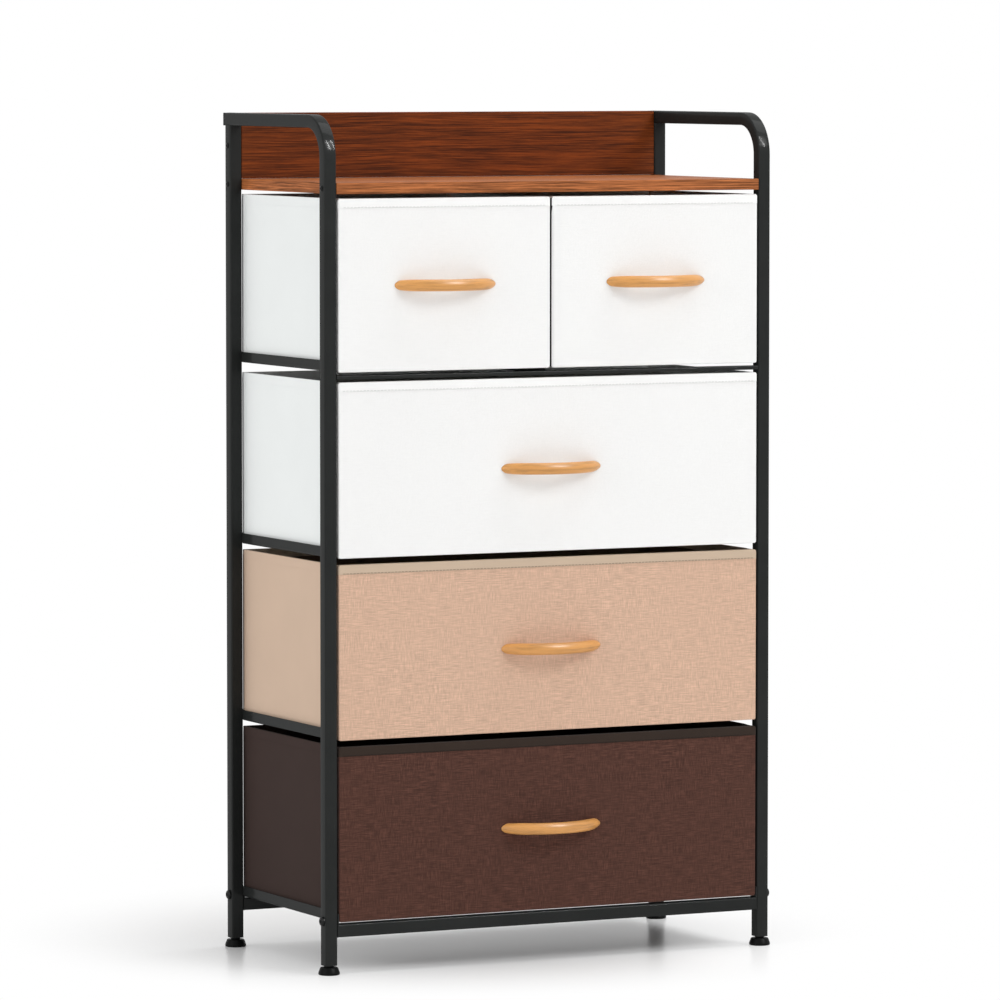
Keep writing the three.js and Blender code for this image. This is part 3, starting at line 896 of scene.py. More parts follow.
class DRESSER_OT_bolts(bpy.types.Operator):
    """Turns the dome-head bolts with their hexagon sockets"""

    bl_idname = "dresser.bolts"
    bl_label = "Bolts"

    # Each bolt that is modelled, and the like bolts that are copies of it
    LIKE_BOLTS = {"front_table": ("rear_table", "panel"), "front_frame": ("rear_frame",)}
    # From the post's face to the head
    SEAT_GAP = 0.0003
    # Shares of the head's radius: its underside and its socket
    UNDERSIDE, SOCKET = 0.95, 0.4
    # Shares of the head's rise: the underside's edge, the foot of the dome, and the depth of the tool
    # that cuts the socket, which stands half out of the head
    UNDERSIDE_EDGE, DOME_FOOT, SOCKET_TOOL = 0.06, 0.32, 0.8
    # Angles in degrees from the dome's foot towards its top, at which it has a ring
    DOME_ANGLES = (14, 28, 42, 56, 68)
    # The shank's length, and how far it stays below the head's underside
    SHANK_LENGTH, SHANK_GAP = 0.016, 0.0001

    def execute(self, context):
        for side, sign in SIDES.items():
            for first_place, other_places in self.LIKE_BOLTS.items():
                node = f"{side}_{first_place}_bolt"
                bolt = self.make_bolt(node, side, sign)
                for other_place in other_places:
                    other_node = f"{side}_{other_place}_bolt"
                    self.place_bolt(copy_for(bolt, node, other_node, other_node + "_head"), other_node)
                self.place_bolt(bolt, node)
        return {"FINISHED"}

    def place_bolt(self, bolt, node):
        place_on(bolt, "frame", ["black_oxide_bolt"], [node])

    def make_bolt(self, node, side, sign):
        low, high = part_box(node)
        outer_corner = 0 if sign < 0 else 1
        outward = X_AXIS * sign
        post_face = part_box(f"{side}_rear_post")[outer_corner].x
        seat = Vector((post_face + sign * self.SEAT_GAP, (low.y + high.y) / 2, (low.z + high.z) / 2))
        radius = (high.z - low.z) / 2
        rise = abs((low, high)[outer_corner].x - seat.x)
        rings = [
            (radius * self.UNDERSIDE, 0),
            (radius, rise * self.UNDERSIDE_EDGE),
            (radius, rise * self.DOME_FOOT),
        ]
        for angle in self.DOME_ANGLES:
            turn = math.radians(angle)
            height = self.DOME_FOOT + (1 - self.DOME_FOOT) * math.sin(turn)
            rings.append((radius * math.cos(turn), rise * height))
        head = add_turned(node + "_head", seat, outward, rings, sides=36)
        socket, socket_depth = radius * self.SOCKET, rise * self.SOCKET_TOOL
        cut_out(head, add_rod("bolt_socket_tool", seat + outward * rise, 6, socket, socket_depth))
        shank_middle = seat - outward * (self.SHANK_LENGTH / 2 + self.SHANK_GAP)
        shank = add_rod("bolt_shank", shank_middle, 20, radius / 2, self.SHANK_LENGTH)
        bolt = join_pieces(head.name, [shank, head])
        shade(bolt, angle=32)
        return bolt


class DRESSER_OT_feet(bpy.types.Operator):
    """Moulds the four levelling feet on their studs"""

    bl_idname = "dresser.feet"
    bl_label = "Levelling feet"

    FEET = ("front_left_foot", "rear_left_foot", "front_right_foot", "rear_right_foot")
    # Radius and height in millimetres from the floor up: the pad, its collar and the stud
    PROFILE = (
        (11.4, 0), (12.1, 0.35), (12.45, 1.0), (12.5, 1.9), (12.3, 2.9), (11.8, 4.4), (11.2, 6.0),
        (10.8, 7.0), (10.55, 7.7), (10.2, 8.3), (9.6, 8.7), (8.8, 8.8), (5.5, 8.8), (5.5, 10.5),
        (3.0, 10.5), (3.0, 30.8),
    )

    def execute(self, context):
        first_node, *other_nodes = self.FEET
        first = self.make_foot(first_node)
        self.place_foot(first, first_node)
        for node in other_nodes:
            self.place_foot(copy_for(first, first_node, node, node + "_pad"), node)
        return {"FINISHED"}

    def place_foot(self, foot, node):
        place_on(foot, node, ["black_moulding"], [node])

    def make_foot(self, node):
        low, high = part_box(node)
        base = Vector(((low.x + high.x) / 2, (low.y + high.y) / 2, low.z))
        foot = add_turned(node + "_pad", base, Z_AXIS, in_metres(self.PROFILE), sides=48)
        shade(foot, angle=40)
        return foot


# The wood


class DRESSER_OT_wood(bpy.types.Operator):
    """Cuts the tabletop and the back panel"""

    bl_idname = "dresser.wood"
    bl_label = "Tabletop and back panel"

    def execute(self, context):
        edge = context.scene.dresser_sizes.wood_edge
        for node, name, slot, look in (
            ("tabletop", "wooden_top", "tabletop_wood", "chestnut_top"),
            ("back_panel", "wooden_back", "panel_wood", "chestnut_panel"),
        ):
            board = add_block(name, *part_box(node))
            round_edges(board, edge, 4, lambda place, way: True)
            shade_and_map(board)
            place_on(board, "frame", [look], [node])
        return {"FINISHED"}


class DRESSER_OT_handles(bpy.types.Operator):
    """Bows the five wooden handles"""

    bl_idname = "dresser.handles"
    bl_label = "Handles"

    # The wood's thickness from front to back, and the rounding where it meets the drawer
    THICKNESS, SEAT_EDGE = 0.011, 0.0008
    # The share of the half length at which a handle starts to thin, how much of its height it loses
    # by its end, and how much it gains along the middle
    TAPER_START, TAPER, SWELL = 0.55, 0.42, 0.05

    def execute(self, context):
        first_drawer = "upper_drawer"
        first_node = first_drawer + "_handle"
        first = self.make_handle(first_drawer)
        for drawer in DRAWERS:
            node, name = drawer + "_handle", drawer + "_bow_handle"
            handle = first if drawer == first_drawer else copy_for(first, first_node, node, name)
            place_on(handle, drawer, ["beech_handle"], [node])
        return {"FINISHED"}

    def make_handle(self, drawer):
        low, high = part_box(drawer + "_handle")
        half = (high.x - low.x) / 2
        reach = high.y - low.y
        outer = (half**2 + reach**2) / (2 * reach)
        radius = outer - self.THICKNESS / 2
        centre = Vector(((low.x + high.x) / 2, low.y + outer, (low.z + high.z) / 2))
        sweep = math.asin(half / outer) + self.THICKNESS / outer
        choose()
        bpy.ops.mesh.primitive_circle_add(vertices=28, radius=0.5, fill_type="NGON")
        section = bpy.context.object
        section.matrix_world = (
            Matrix.Translation(centre)
            @ Matrix.Rotation(-sweep, 4, "Z")
            @ Matrix.Translation((0, -radius, 0))
            @ Matrix.Rotation(math.pi / 2, 4, "Y")
            @ Matrix.Diagonal((high.z - low.z, self.THICKNESS, 1, 1))
        )
        handle = settle(drawer + "_bow_handle")
        with editing(handle):
            bpy.ops.mesh.spin(steps=44, angle=2 * sweep, center=centre, axis=(0, 0, -1))
        face_outwards(handle)
        with editing(handle):
            bpy.ops.mesh.bisect(
                plane_co=(0, high.y, 0), plane_no=(0, 1, 0), use_fill=True, clear_outer=True
            )
        round_edges(handle, self.SEAT_EDGE, 3, lambda place, way: near(place.y, high.y))
        self.taper_ends(handle, centre, half)
        shade(handle, angle=50)
        return handle

    def taper_ends(self, handle, centre, half):
        """Thins the handle's height towards its ends."""
        for vertex in handle.data.vertices:
            outwards = min(1.0, abs(vertex.co.x - centre.x) / half)
            taper = max(0.0, (outwards - self.TAPER_START) / (1 - self.TAPER_START))
            vertex.co.z += (centre.z - vertex.co.z) * (self.TAPER * taper**3 - self.SWELL)


# The drawers

# How far right of the middle the left edge of the right small drawer can lie
MIDDLE_GAP = 0.003


def in_middle_gap(x):
    """Whether a place is at the right small drawer's left edge, in the narrow gap to the left one."""
    return 0 < x < MIDDLE_GAP


def is_in_gap_shade(face, lean):
    """Whether a face in that gap leans this far to the left, which gets the painted shade of the gap."""
    return face.normal.x < -lean and in_middle_gap(face.center.x)


class DRESSER_OT_drawer_fronts(bpy.types.Operator):
    """Covers the front boards with linen"""

    bl_idname = "dresser.drawer_fronts"
    bl_label = "Drawer fronts"

    # From the cover's top up to the rim
    RIM_GAP = 0.0006
    # From the cover's sides to the first and last cut of the grid, and its cuts across and up
    GRID_MARGIN, CUTS_ACROSS, CUTS_UP = 0.004, 23, 11
    # How far a face leans to the left where it gets the painted shade of the gap
    SHADE_LEAN = 0.6
    # Shares of the rolled edge's width: before and after its cuts, and how far back it rolls
    BEFORE_CUTS, AFTER_CUTS, ROLL_DEPTH = 0.4, 0.95, 0.7
    # The height below the hem over which the edge starts to roll
    ROLL_START = 0.008
    # How far the cloth eases back, and how fast that starts from the sides and from top and bottom
    EASE, SIDE_RUN, END_RUN = 0.0003, 9, 5
    # The cloth's ripples per metre, and how much the drawer's height shifts them
    RIPPLES, RIPPLE_SHIFT = 9, 5

    def execute(self, context):
        for drawer in DRAWERS:
            self.cover_front(drawer, context.scene.dresser_sizes)
        return {"FINISHED"}

    def cover_front(self, drawer, sizes):
        low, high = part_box(drawer + "_bin")
        low.z += sizes.front_gap
        high.z -= self.RIM_GAP
        back = Vector((high.x, low.y + sizes.panel_depth, high.z))
        front = add_block(drawer + "_linen_front", low, back)
        round_edges(front, sizes.front_corner, 6, lambda place, way: along(way, Y_AXIS))
        round_edges(front, sizes.panel_edge, 5, lambda place, way: across(way, Y_AXIS))
        margin = self.GRID_MARGIN
        cut_grid(front, X_AXIS, spread(low.x + margin, high.x - margin, self.CUTS_ACROSS))
        cut_grid(front, Z_AXIS, spread(low.z + margin, high.z - margin, self.CUTS_UP))
        is_rolled = in_middle_gap(low.x)
        hem_foot = high.z - sizes.hem
        if is_rolled:
            self.cut_edge(front, low, hem_foot, sizes.rolled_edge)
        self.ease_front(front, low, high)
        shade_and_map(front, angle=40)
        self.sort_looks(front)
        if is_rolled:
            self.roll_edge(front, low, hem_foot, sizes.rolled_edge)
        place_cloth(front, drawer, ["linen", "lining", GAP_SHADE], [drawer + "_front_board"])

    def ease_front(self, front, low, high):
        """A soft unevenness of the cloth over its board."""
        for vertex in front.data.vertices:
            place = vertex.co
            if place.y > low.y + FACE_DEPTH:
                continue
            u = (place.x - low.x) / (high.x - low.x)
            v = (place.z - low.z) / (high.z - low.z)
            edge = min(1.0, self.SIDE_RUN * min(u, 1 - u), self.END_RUN * min(v, 1 - v))
            spot = (place.x * self.RIPPLES, low.z * self.RIPPLE_SHIFT, place.z * self.RIPPLES)
            place.y += self.EASE * edge * (1 + noise.noise(Vector(spot))) / 2

    def sort_looks(self, front):
        """Puts lining, darker as painted shade, on the rear, and the gap's painted shade on the left edge in
        the middle gap.
        """
        for face in front.data.polygons:
            face.material_index = int(faces(face.normal, Y_AXIS))
            # Faces in the middle gap get its painted shade
            if is_in_gap_shade(face, self.SHADE_LEAN):
                face.material_index = 2

    def cut_edge(self, front, low, hem_foot, reach):
        """Cuts the left edge so that it can roll."""
        places = spread(low.x + self.BEFORE_CUTS * reach, low.x + self.AFTER_CUTS * reach, 4)
        cut_grid(front, X_AXIS, places)
        cut_grid(front, Z_AXIS, (hem_foot - self.ROLL_START, hem_foot))

    def roll_edge(self, front, low, hem_foot, reach):
        """Rolls the left edge back below the hem."""
        for vertex in front.data.vertices:
            place = vertex.co
            inwards = (place.x - low.x) / reach
            if inwards < 1 and place.y < low.y + reach:
                below_hem = clamped((hem_foot - place.z) / self.ROLL_START)
                place.y += self.ROLL_DEPTH * reach * (1 - inwards) ** 2 * below_hem


class DRESSER_OT_drawer_bodies(bpy.types.Operator):
    """Sews the sides, backs and floors of the drawers"""

    bl_idname = "dresser.drawer_bodies"
    bl_label = "Drawer bodies"

    # From the base board down to the cloth, how far the walls run into the front, and the rounding
    # where they turn into the floor
    BOARD_GAP = 0.0003
    FRONT_OVERLAP = 0.0004
    FLOOR_BEND = 0.002
    # For each axis the margins before the first and after the last cut of the grid, and its cuts
    GRID = ((X_AXIS, 0.006, 0.006, 23), (Y_AXIS, 0.003, 0.006, 13), (Z_AXIS, 0.004, 0.006, 13))
    # How squarely the slack fills a wall, and its steady and its wandering share
    FULLNESS, STEADY, WANDERING = 0.7, 0.9, 1.3
    # The slack's waves per metre along each axis, and how much the drawer's height shifts them
    WAVES, WAVE_SHIFT = (7, 9, 11), 3

    def execute(self, context):
        for drawer in DRAWERS:
            self.sew_body(drawer, context.scene.dresser_sizes)
            coat_node(drawer + "_base_board", "raw_fibreboard")
        return {"FINISHED"}

    def sew_body(self, drawer, sizes):
        bin_low, bin_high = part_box(drawer + "_bin")
        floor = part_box(drawer + "_base_board")[0].z - self.BOARD_GAP - sizes.fabric
        low = Vector((bin_low.x, bin_low.y + sizes.panel_depth - self.FRONT_OVERLAP, floor))
        high = Vector((bin_high.x, bin_high.y, bin_high.z - sizes.hem / 2))
        body = add_block(drawer + "_fabric_body", low, high)
        with editing(body):
            pick(body, "FACE", lambda place, normal: faces(normal, Z_AXIS) or faces(normal, -Y_AXIS))
            bpy.ops.mesh.delete(type="FACE")
            bevel_picked(
                body,
                sizes.fabric_corner,
                6,
                lambda place, way: along(way, Z_AXIS) and near(place.y, high.y),
            )
            bevel_picked(
                body,
                self.FLOOR_BEND,
                4,
                lambda place, way: near(place.z, low.z) and place.y > low.y + FACE_DEPTH,
            )
        for axis, before, after, cuts in self.GRID:
            cut_grid(body, axis, spread(low.dot(axis) + before, high.dot(axis) - after, cuts))
        self.slacken(body, low, high, sizes.slack)
        # The inner wall gets the lining, darkened as painted shade
        thicken(body, sizes.fabric, 1)
        shade_and_map(body, angle=45)
        place_cloth(body, drawer, ["felt", "lining"], [drawer + "_bin"])

    def slacken(self, body, low, high, slack):
        """Lets the walls wander in and out between their stiff rim, floor and corners."""
        middle = (low + high) / 2
        for vertex in body.data.vertices:
            place = vertex.co
            at_side = abs(place.x - middle.x) > (high.x - low.x) / 2 - TOUCHING
            at_rear = place.y > high.y - TOUCHING
            if at_side == at_rear:
                continue
            axis = 1 if at_side else 0
            spot = Vector(waves * along_axis for waves, along_axis in zip(self.WAVES, place))
            spot.x += self.WAVE_SHIFT * low.z
            wander = noise.noise(spot)
            inward = slack * (self.STEADY + self.WANDERING * wander)
            inward *= self.looseness(place, low, high, 2) * self.looseness(place, low, high, axis)
            if at_side:
                place.x -= math.copysign(inward, place.x - middle.x)
            else:
                place.y -= inward

    def looseness(self, place, low, high, axis):
        """How freely the cloth moves between the two ends of a wall, from 0 at either to 1."""
        run = clamped((place[axis] - low[axis]) / (high[axis] - low[axis]))
        return math.sin(math.pi * run) ** self.FULLNESS


class DRESSER_OT_corner_seams(bpy.types.Operator):
    """Folds a strip of the body's cloth round each rear corner of the drawers"""

    bl_idname = "dresser.corner_seams"
    bl_label = "Corner seams"

    # The rounding of the strip's fold, and the gap between it and the body's cloth
    BEND, GAP = 0.0014, 0.00004

    def execute(self, context):
        sizes = context.scene.dresser_sizes
        for drawer in DRAWERS:
            low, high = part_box(drawer + "_bin")
            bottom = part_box(drawer + "_base_board")[0].z
            strips = []
            for sign, side_x in ((-1, low.x), (1, high.x)):
                corner = Vector((side_x + sign * sizes.seam_cloth, high.y + sizes.seam_cloth, bottom))
                strips.append(self.fold_strip(corner, sign, high.z - sizes.hem / 2, sizes))
            seams = join_pieces(drawer + "_corner_seams", strips)
            shade_and_map(seams, angle=40)
            place_cloth(seams, drawer, ["felt"])
        return {"FINISHED"}

    def fold_strip(self, corner, sign, top, sizes):
        inner = corner - Vector((sign, 1, 0)) * sizes.seam_width
        low = Vector((min(corner.x, inner.x), inner.y, corner.z))
        high = Vector((max(corner.x, inner.x), corner.y, corner.z))
        strip = add_sheet("corner_seam", low, high)
        with editing(strip):
            pick(strip, "EDGE", lambda place, way: near(place.x, inner.x) or near(place.y, inner.y))
            bpy.ops.mesh.delete(type="EDGE")
            pick_all()
            extrude(Z_AXIS * (top - corner.z))
            bevel_picked(
                strip,
                self.BEND,
                4,
                lambda place, way: near(place.x, corner.x) and near(place.y, corner.y),
            )
        face_towards(strip, Y_AXIS)
        thicken(strip, sizes.seam_cloth - self.GAP)
        return strip


class DRESSER_OT_drawer_hems(bpy.types.Operator):
    """Folds the binding over the rims of the drawers"""

    bl_idname = "dresser.drawer_hems"
    bl_label = "Drawer hems"

    # The rounding of the rim, and how near its outside an edge of the top has to run to be rounded
    EDGE, RIM_REACH = 0.0007, 0.0012
    # Cuts across the side rims, from the front
    CUTS = (0.006, 0.009, 0.012, 0.016, 0.020, 0.025, 0.031)
    # How far from the front the sides change to the body's cloth
    FRONT_PART = 0.005
    # How far from the front the side rims start to rise again, and over what run
    RISE_START, RISE_RUN = 0.004, 0.026
    # How far a face leans to the left where it gets the painted shade of the gap
    SHADE_LEAN = 0.8

    def execute(self, context):
        for drawer in DRAWERS:
            self.bind_rim(drawer, context.scene.dresser_sizes)
        return {"FINISHED"}

    def bind_rim(self, drawer, sizes):
        bin_low, bin_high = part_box(drawer + "_bin")
        cloth = sizes.hem_cloth
        top = bin_high.z + cloth
        out = Vector((cloth, cloth, 0))
        low = Vector((bin_low.x, bin_low.y, bin_high.z - sizes.hem)) - out
        high = Vector((bin_high.x, bin_high.y, bin_high.z - sizes.hem)) + out
        inner_low = Vector((bin_low.x + sizes.fabric, bin_low.y + sizes.panel_depth, top)) + out
        inner_high = Vector((bin_high.x - sizes.fabric, bin_high.y - sizes.fabric, top)) - out
        inner_corner = sizes.fabric_corner - sizes.fabric
        height = top - low.z
        outer = self.add_loop(drawer + "_hem", low, high, sizes.fabric_corner, height)
        inner = self.add_loop(drawer + "_hem_inside", inner_low, inner_high, inner_corner, -height)
        hem = join_pieces(drawer + "_hem", [inner, outer])
        with editing(hem):
            pick(hem, "EDGE", lambda place, way: near(place.z, top))
            bpy.ops.mesh.bridge_edge_loops()
            pick_all()
            bpy.ops.mesh.normals_make_consistent(inside=False)
        round_edges(
            hem,
            self.EDGE,
            3,
            lambda place, way: near(place.z, top) and self.is_rim(place, way, low, high),
        )
        cut_grid(hem, Y_AXIS, [low.y + cut for cut in self.CUTS])
        self.drop_corners(hem, low, high, top, sizes.hem_corner)
        shade_and_map(hem, angle=45)
        self.sort_looks(hem, low, sizes)
        place_cloth(hem, drawer, ["binding", "felt", GAP_SHADE])

    def add_loop(self, name, low, high, radius, rise):
        """An upright ribbon that runs round a rectangle with rounded corners."""
        loop = add_sheet(name, low, high)
        with editing(loop):
            bpy.ops.mesh.bevel(offset=radius, segments=6, affect="VERTICES")
            pick_all()
            bpy.ops.mesh.delete(type="ONLY_FACE")
            pick_all()
            extrude(Z_AXIS * rise)
        return loop

    def sort_looks(self, hem, low, sizes):
        """Puts the body's cloth on the outer and inner faces behind the front, and the gap's painted shade
        on the left edge in the middle gap.
        """
        for face in hem.data.polygons:
            aside = not across(face.normal, X_AXIS) or face.normal.y > ACROSS
            face.material_index = int(aside and face.center.y > low.y + self.FRONT_PART)
            if is_in_gap_shade(face, self.SHADE_LEAN) and face.center.y < low.y + sizes.panel_depth:
                face.material_index = 2

    def is_rim(self, place, way, low, high):
        """Whether an edge of the top runs round the outside of the rim."""
        beside = min(place.x - low.x, high.x - place.x)
        before = min(place.y - low.y, high.y - place.y)
        return min(beside, before) < self.RIM_REACH and across(way, Z_AXIS)

    def drop_corners(self, hem, low, high, top, radius):
        """Rounds the top corners of the front, and lets the side rims rise again behind them."""
        for vertex in hem.data.vertices:
            place = vertex.co
            beside = max(0.0, min(place.x - low.x, high.x - place.x))
            if beside >= radius:
                continue
            drop = radius - math.sqrt(radius**2 - (radius - beside) ** 2)
            behind = clamped((place.y - low.y - self.RISE_START) / self.RISE_RUN)
            up = (place.z - low.z) / (top - low.z)
            place.z -= drop * up * (1 - behind * behind * (3 - 2 * behind))


class DRESSER_OT_stitches(bpy.types.Operator):
    """Sews the row of stitches along the lower edge of each front hem"""

    bl_idname = "dresser.stitches"
    bl_label = "Hem stitches"

    # The thread's depth and height, and its rounding
    DEPTH, HEIGHT, EDGE = 0.0006, 0.0008, 0.00028
    # From the hem's face to the middle of the thread, and from the hem's lower edge up to it
    SEAM_OUT, SEAM_UP = 0.0001, 0.0009
    # What the row leaves free of the front's width
    ROW_MARGINS = 0.008

    def execute(self, context):
        sizes = context.scene.dresser_sizes
        half = Vector((sizes.stitch, self.DEPTH, self.HEIGHT)) / 2
        for drawer in DRAWERS:
            low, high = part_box(drawer + "_bin")
            count = int((high.x - low.x - self.ROW_MARGINS) / sizes.stitch_pitch)
            run = (count - 1) * sizes.stitch_pitch
            seam_y = low.y - sizes.hem_cloth - self.SEAM_OUT
            middle = Vector(((low.x + high.x - run) / 2, seam_y, high.z - sizes.hem + self.SEAM_UP))
            row = add_block(drawer + "_stitches", middle - half, middle + half)
            round_edges(row, self.EDGE, 3, lambda place, way: True)
            apply_modifier(
                row,
                "ARRAY",
                count=count,
                use_relative_offset=False,
                use_constant_offset=True,
                constant_offset_displace=(sizes.stitch_pitch, 0, 0),
            )
            shade_and_map(row)
            place_cloth(row, drawer, ["thread"])
        return {"FINISHED"}


class DRESSER_OT_handle_screws(bpy.types.Operator):
    """Adds the screws and washers that hold the handles from inside the drawers"""

    bl_idname = "dresser.handle_screws"
    bl_label = "Handle screws"

    # From the handle's middle to either screw
    SPACING = 0.054
    # Radius and height in millimetres from the board inwards: the washer and the head
    PROFILE = ((5.0, 0), (5.0, 0.7), (4.7, 0.9), (3.6, 0.9), (3.6, 1.4), (3.4, 2.0), (2.7, 2.6), (1.5, 2.9))
    # Length, depth and width of either slot of the cross, and the height of its middle
    SLOT_LENGTH, SLOT_DEPTH, SLOT_WIDTH, SLOT_HEIGHT = 0.0036, 0.0026, 0.0007, 0.0032

    def execute(self, context):
        first_drawer, *other_drawers = DRAWERS
        first_node = first_drawer + "_handle"
        first = self.make_pair(first_drawer, context.scene.dresser_sizes.panel_depth)
        self.place_pair(first, first_drawer)
        for drawer in other_drawers:
            pair = copy_for(first, first_node, drawer + "_handle", drawer + "_handle_screws")
            self.place_pair(pair, drawer)
        return {"FINISHED"}

    def place_pair(self, pair, drawer):
        place_on(pair, drawer, ["plated_screw"])

    def make_pair(self, drawer, panel_depth):
        low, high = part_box(drawer + "_handle")
        middle = (low + high) / 2
        panel_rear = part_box(drawer + "_bin")[0].y + panel_depth
        screw = self.make_screw(Vector((middle.x - self.SPACING, panel_rear, middle.z)))
        other = copy_to(screw, X_AXIS * 2 * self.SPACING, "other_screw")
        pair = join_pieces(drawer + "_handle_screws", [screw, other])
        shade(pair)
        return pair

    def make_screw(self, seat):
        screw = add_turned("handle_screw", seat, Y_AXIS, in_metres(self.PROFILE), sides=28)
        level = Vector((self.SLOT_LENGTH, self.SLOT_DEPTH, self.SLOT_WIDTH))
        upright = Vector((self.SLOT_WIDTH, self.SLOT_DEPTH, self.SLOT_LENGTH))
        middle = seat + Y_AXIS * self.SLOT_HEIGHT
        for slot in (level, upright):
            cut_out(screw, add_block("screw_slot_tool", middle - slot / 2, middle + slot / 2))
        return screw


# The studio


class DRESSER_OT_studio(bpy.types.Operator):
    """Lays the floor, hangs the lamps and stands the camera where the photograph was taken from"""

    bl_idname = "dresser.studio"
    bl_label = "Studio"

    # The floor turns white between these distances from a spot behind the dresser's middle
    FADE_START, FADE_END, FADE_BEHIND = 0.24, 0.56, 0.15
    FLOOR_COLOUR = (0.93, 0.93, 0.93)
    # Each lamp's place, the height over the floor that it is aimed at, its width and its power's name
    LAMPS = {
        "key_lamp": ((1.9, -3.4, 3.3), 0.45, 1.7, "key_power"),
        "left_strip_lamp": ((1.42, -3.5, 3.3), 0.9, 0.08, "strip_power"),
        "right_strip_lamp": ((2.25, -3.5, 3.3), 0.9, 0.08, "strip_power"),
        "fill_lamp": ((-4.2, -0.9, 1.6), 0.5, 2.2, "fill_power"),
        "top_lamp": ((1.4, -0.3, 4.0), 0.5, 2.2, "top_power"),
    }
    STRIP_LENGTH = 2.0
    # Where the camera stands, and in degrees how far it looks down and to the right of straight ahead
    CAMERA_PLACE = (-3.38685, -6.83860, 1.06487)
    CAMERA_PITCH, CAMERA_YAW = 3.99057, 26.3254
    # The sensor's width in millimetres, and how far the camera sees
    SENSOR_WIDTH, SIGHT = 36, 200

    def execute(self, context):
        scene = context.scene
        studio = scene.dresser_studio
        self.lay_floor(studio)
        self.light_world(scene, studio.sky)
        for name, (place, aim_height, width, power_name) in self.LAMPS.items():
            lamp = self.hang_lamp(name, Vector(place), aim_height, width, getattr(studio, power_name))
            if power_name == "strip_power":
                self.make_strip(lamp)
        self.stand_camera(scene, studio.lens)
        scene.view_settings.view_transform = "Standard"
        return {"FINISHED"}

    def lay_floor(self, studio):
        corner = Vector((studio.floor_radius, studio.floor_radius, 0))
        floor = add_sheet("studio_floor", -corner, corner)
        with editing(floor):
            bpy.ops.mesh.subdivide(number_cuts=studio.floor_steps)
        floor.data.materials.append(self.floor_finish())

    def floor_finish(self):
        """Pale satin floor that turns white away from the dresser."""
        floor = Finish("pale_floor", roughness=0.25, specular=0.2)
        floor.colour(self.FLOOR_COLOUR)
        parts = floor.node("SeparateXYZ", {"Vector": floor.object_place()})
        behind = floor.maths("SUBTRACT", parts.outputs[1], self.FADE_BEHIND)
        flat = floor.node("CombineXYZ", {"X": parts.outputs[0], "Y": behind}).outputs[0]
        distance = floor.node("VectorMath", {0: flat}, operation="LENGTH").outputs["Value"]
        away = floor.ranged(distance, self.FADE_START, self.FADE_END, interpolation_type="SMOOTHSTEP")
        white = floor.node("Emission", {"Color": opaque(WHITE), "Strength": 1.0}).outputs[0]
        amount = floor.maths("MULTIPLY", away, floor.is_seen())
        surface = floor.tree.nodes["Material Output"].inputs["Surface"]
        floor.feed(surface, floor.mixed_shader(amount, floor.shader.outputs[0], white))
        return floor.material

    def light_world(self, scene, strength):
        """Even white light, seen as plain white by the camera and in reflections."""
        scene.world = bpy.data.worlds.new("studio_world")
        scene.world.use_nodes = True
        world = Nodes(scene.world.node_tree)
        world.tree.nodes.clear()
        light, white = (
            world.node("Background", {"Color": opaque(WHITE), "Strength": value}).outputs[0]
            for value in (strength, 1.0)
        )
        world.node("OutputWorld", {"Surface": world.mixed_shader(world.is_seen(), light, white)})

    def hang_lamp(self, name, place, aim_height, width, watts):
        choose()
        bpy.ops.object.light_add(type="AREA", location=place)
        lamp = bpy.context.object
        lamp.name = lamp.data.name = name
        lamp.data.size = width
        lamp.data.energy = watts
        aim = Z_AXIS * aim_height - place
        lamp.rotation_euler = aim.to_track_quat("-Z", "Y").to_euler()
        return lamp

    def make_strip(self, lamp):
        """Makes a lamp long and narrow, and seen only in reflections."""
        lamp.data.shape = "RECTANGLE"
        lamp.data.size_y = self.STRIP_LENGTH
        lamp.visible_diffuse = False

    def stand_camera(self, scene, lens):
        choose()
        pitch, yaw = math.radians(self.CAMERA_PITCH), math.radians(self.CAMERA_YAW)
        bpy.ops.object.camera_add(location=self.CAMERA_PLACE, rotation=(math.pi / 2 - pitch, 0, -yaw))
        camera = bpy.context.object
        camera.name = camera.data.name = "studio_camera"
        camera.data.sensor_width = self.SENSOR_WIDTH
        camera.data.lens = lens
        camera.data.clip_end = self.SIGHT
        scene.camera = camera


# The add-on


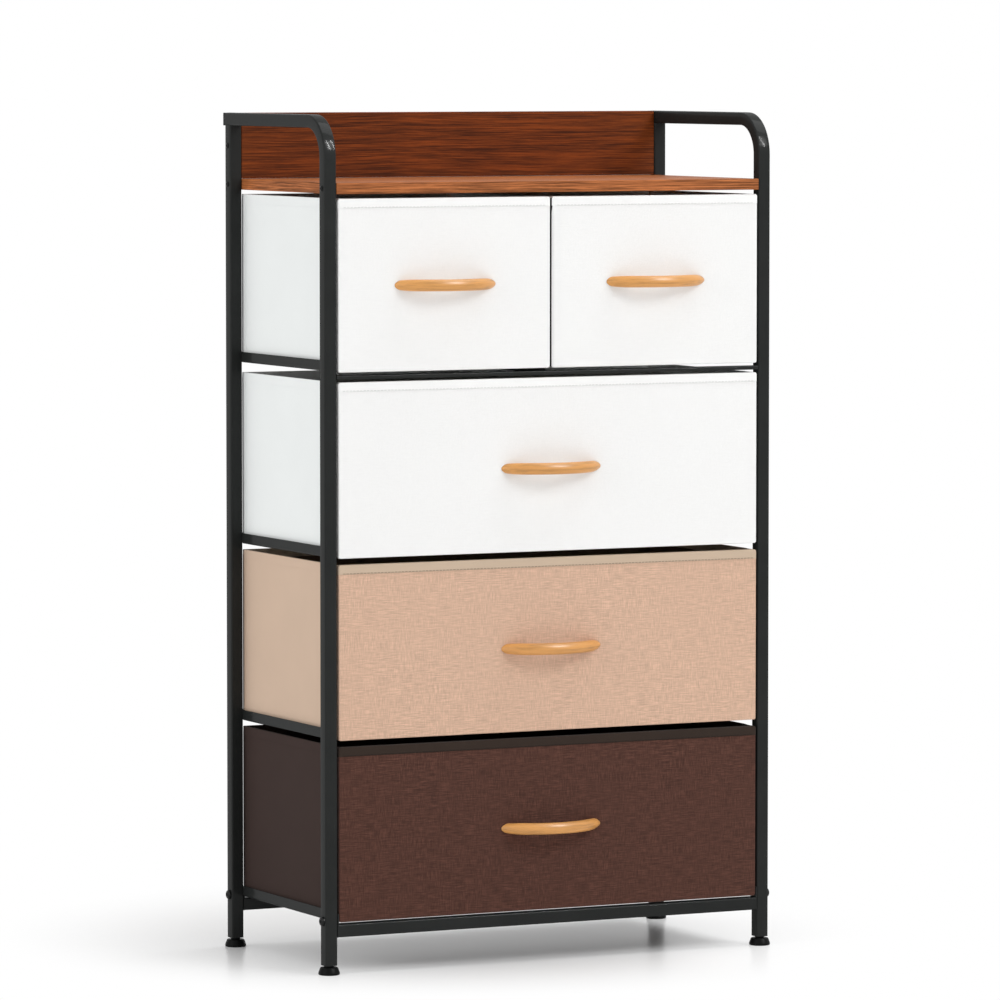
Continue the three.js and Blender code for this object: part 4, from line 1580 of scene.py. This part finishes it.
GROUPS = {
    "dresser_sizes": DresserSizes,
    "dresser_colours": DresserColours,
    "dresser_studio": DresserStudio,
}
OPERATORS = (
    DRESSER_OT_side_tubes,
    DRESSER_OT_rail_caps,
    DRESSER_OT_side_rails,
    DRESSER_OT_crossbars,
    DRESSER_OT_bolts,
    DRESSER_OT_feet,
    DRESSER_OT_wood,
    DRESSER_OT_handles,
    DRESSER_OT_drawer_fronts,
    DRESSER_OT_drawer_bodies,
    DRESSER_OT_corner_seams,
    DRESSER_OT_drawer_hems,
    DRESSER_OT_stitches,
    DRESSER_OT_handle_screws,
    DRESSER_OT_studio,
)


class DRESSER_PT_panel(bpy.types.Panel):
    """Lists the dresser's sizes, colours and steps"""

    bl_idname = "DRESSER_PT_panel"
    bl_label = "Fabric Drawer Dresser"
    bl_space_type = "VIEW_3D"
    bl_region_type = "UI"
    bl_category = "Dresser"

    def draw(self, context):
        layout = self.layout
        for group_name in GROUPS:
            group = getattr(context.scene, group_name)
            box = layout.box()
            for name in group.bl_rna.properties.keys():
                if name not in ("rna_type", "name"):
                    box.prop(group, name)
        for operator in OPERATORS:
            layout.operator(operator.bl_idname)


def register():
    for cls in (*GROUPS.values(), *OPERATORS, DRESSER_PT_panel):
        bpy.utils.register_class(cls)
    for name, group in GROUPS.items():
        setattr(bpy.types.Scene, name, PointerProperty(type=group))


def unregister():
    for name in GROUPS:
        delattr(bpy.types.Scene, name)
    for cls in (DRESSER_PT_panel, *reversed(OPERATORS), *GROUPS.values()):
        bpy.utils.unregister_class(cls)


def main():
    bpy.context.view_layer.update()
    register()
    bpy.ops.dresser.side_tubes()
    bpy.ops.dresser.rail_caps()
    bpy.ops.dresser.side_rails()
    bpy.ops.dresser.crossbars()
    bpy.ops.dresser.bolts()
    bpy.ops.dresser.feet()
    bpy.ops.dresser.wood()
    bpy.ops.dresser.handles()
    bpy.ops.dresser.drawer_fronts()
    bpy.ops.dresser.drawer_bodies()
    bpy.ops.dresser.corner_seams()
    bpy.ops.dresser.drawer_hems()
    bpy.ops.dresser.stitches()
    bpy.ops.dresser.handle_screws()
    bpy.ops.dresser.studio()


if __name__ == "__main__":
    main()
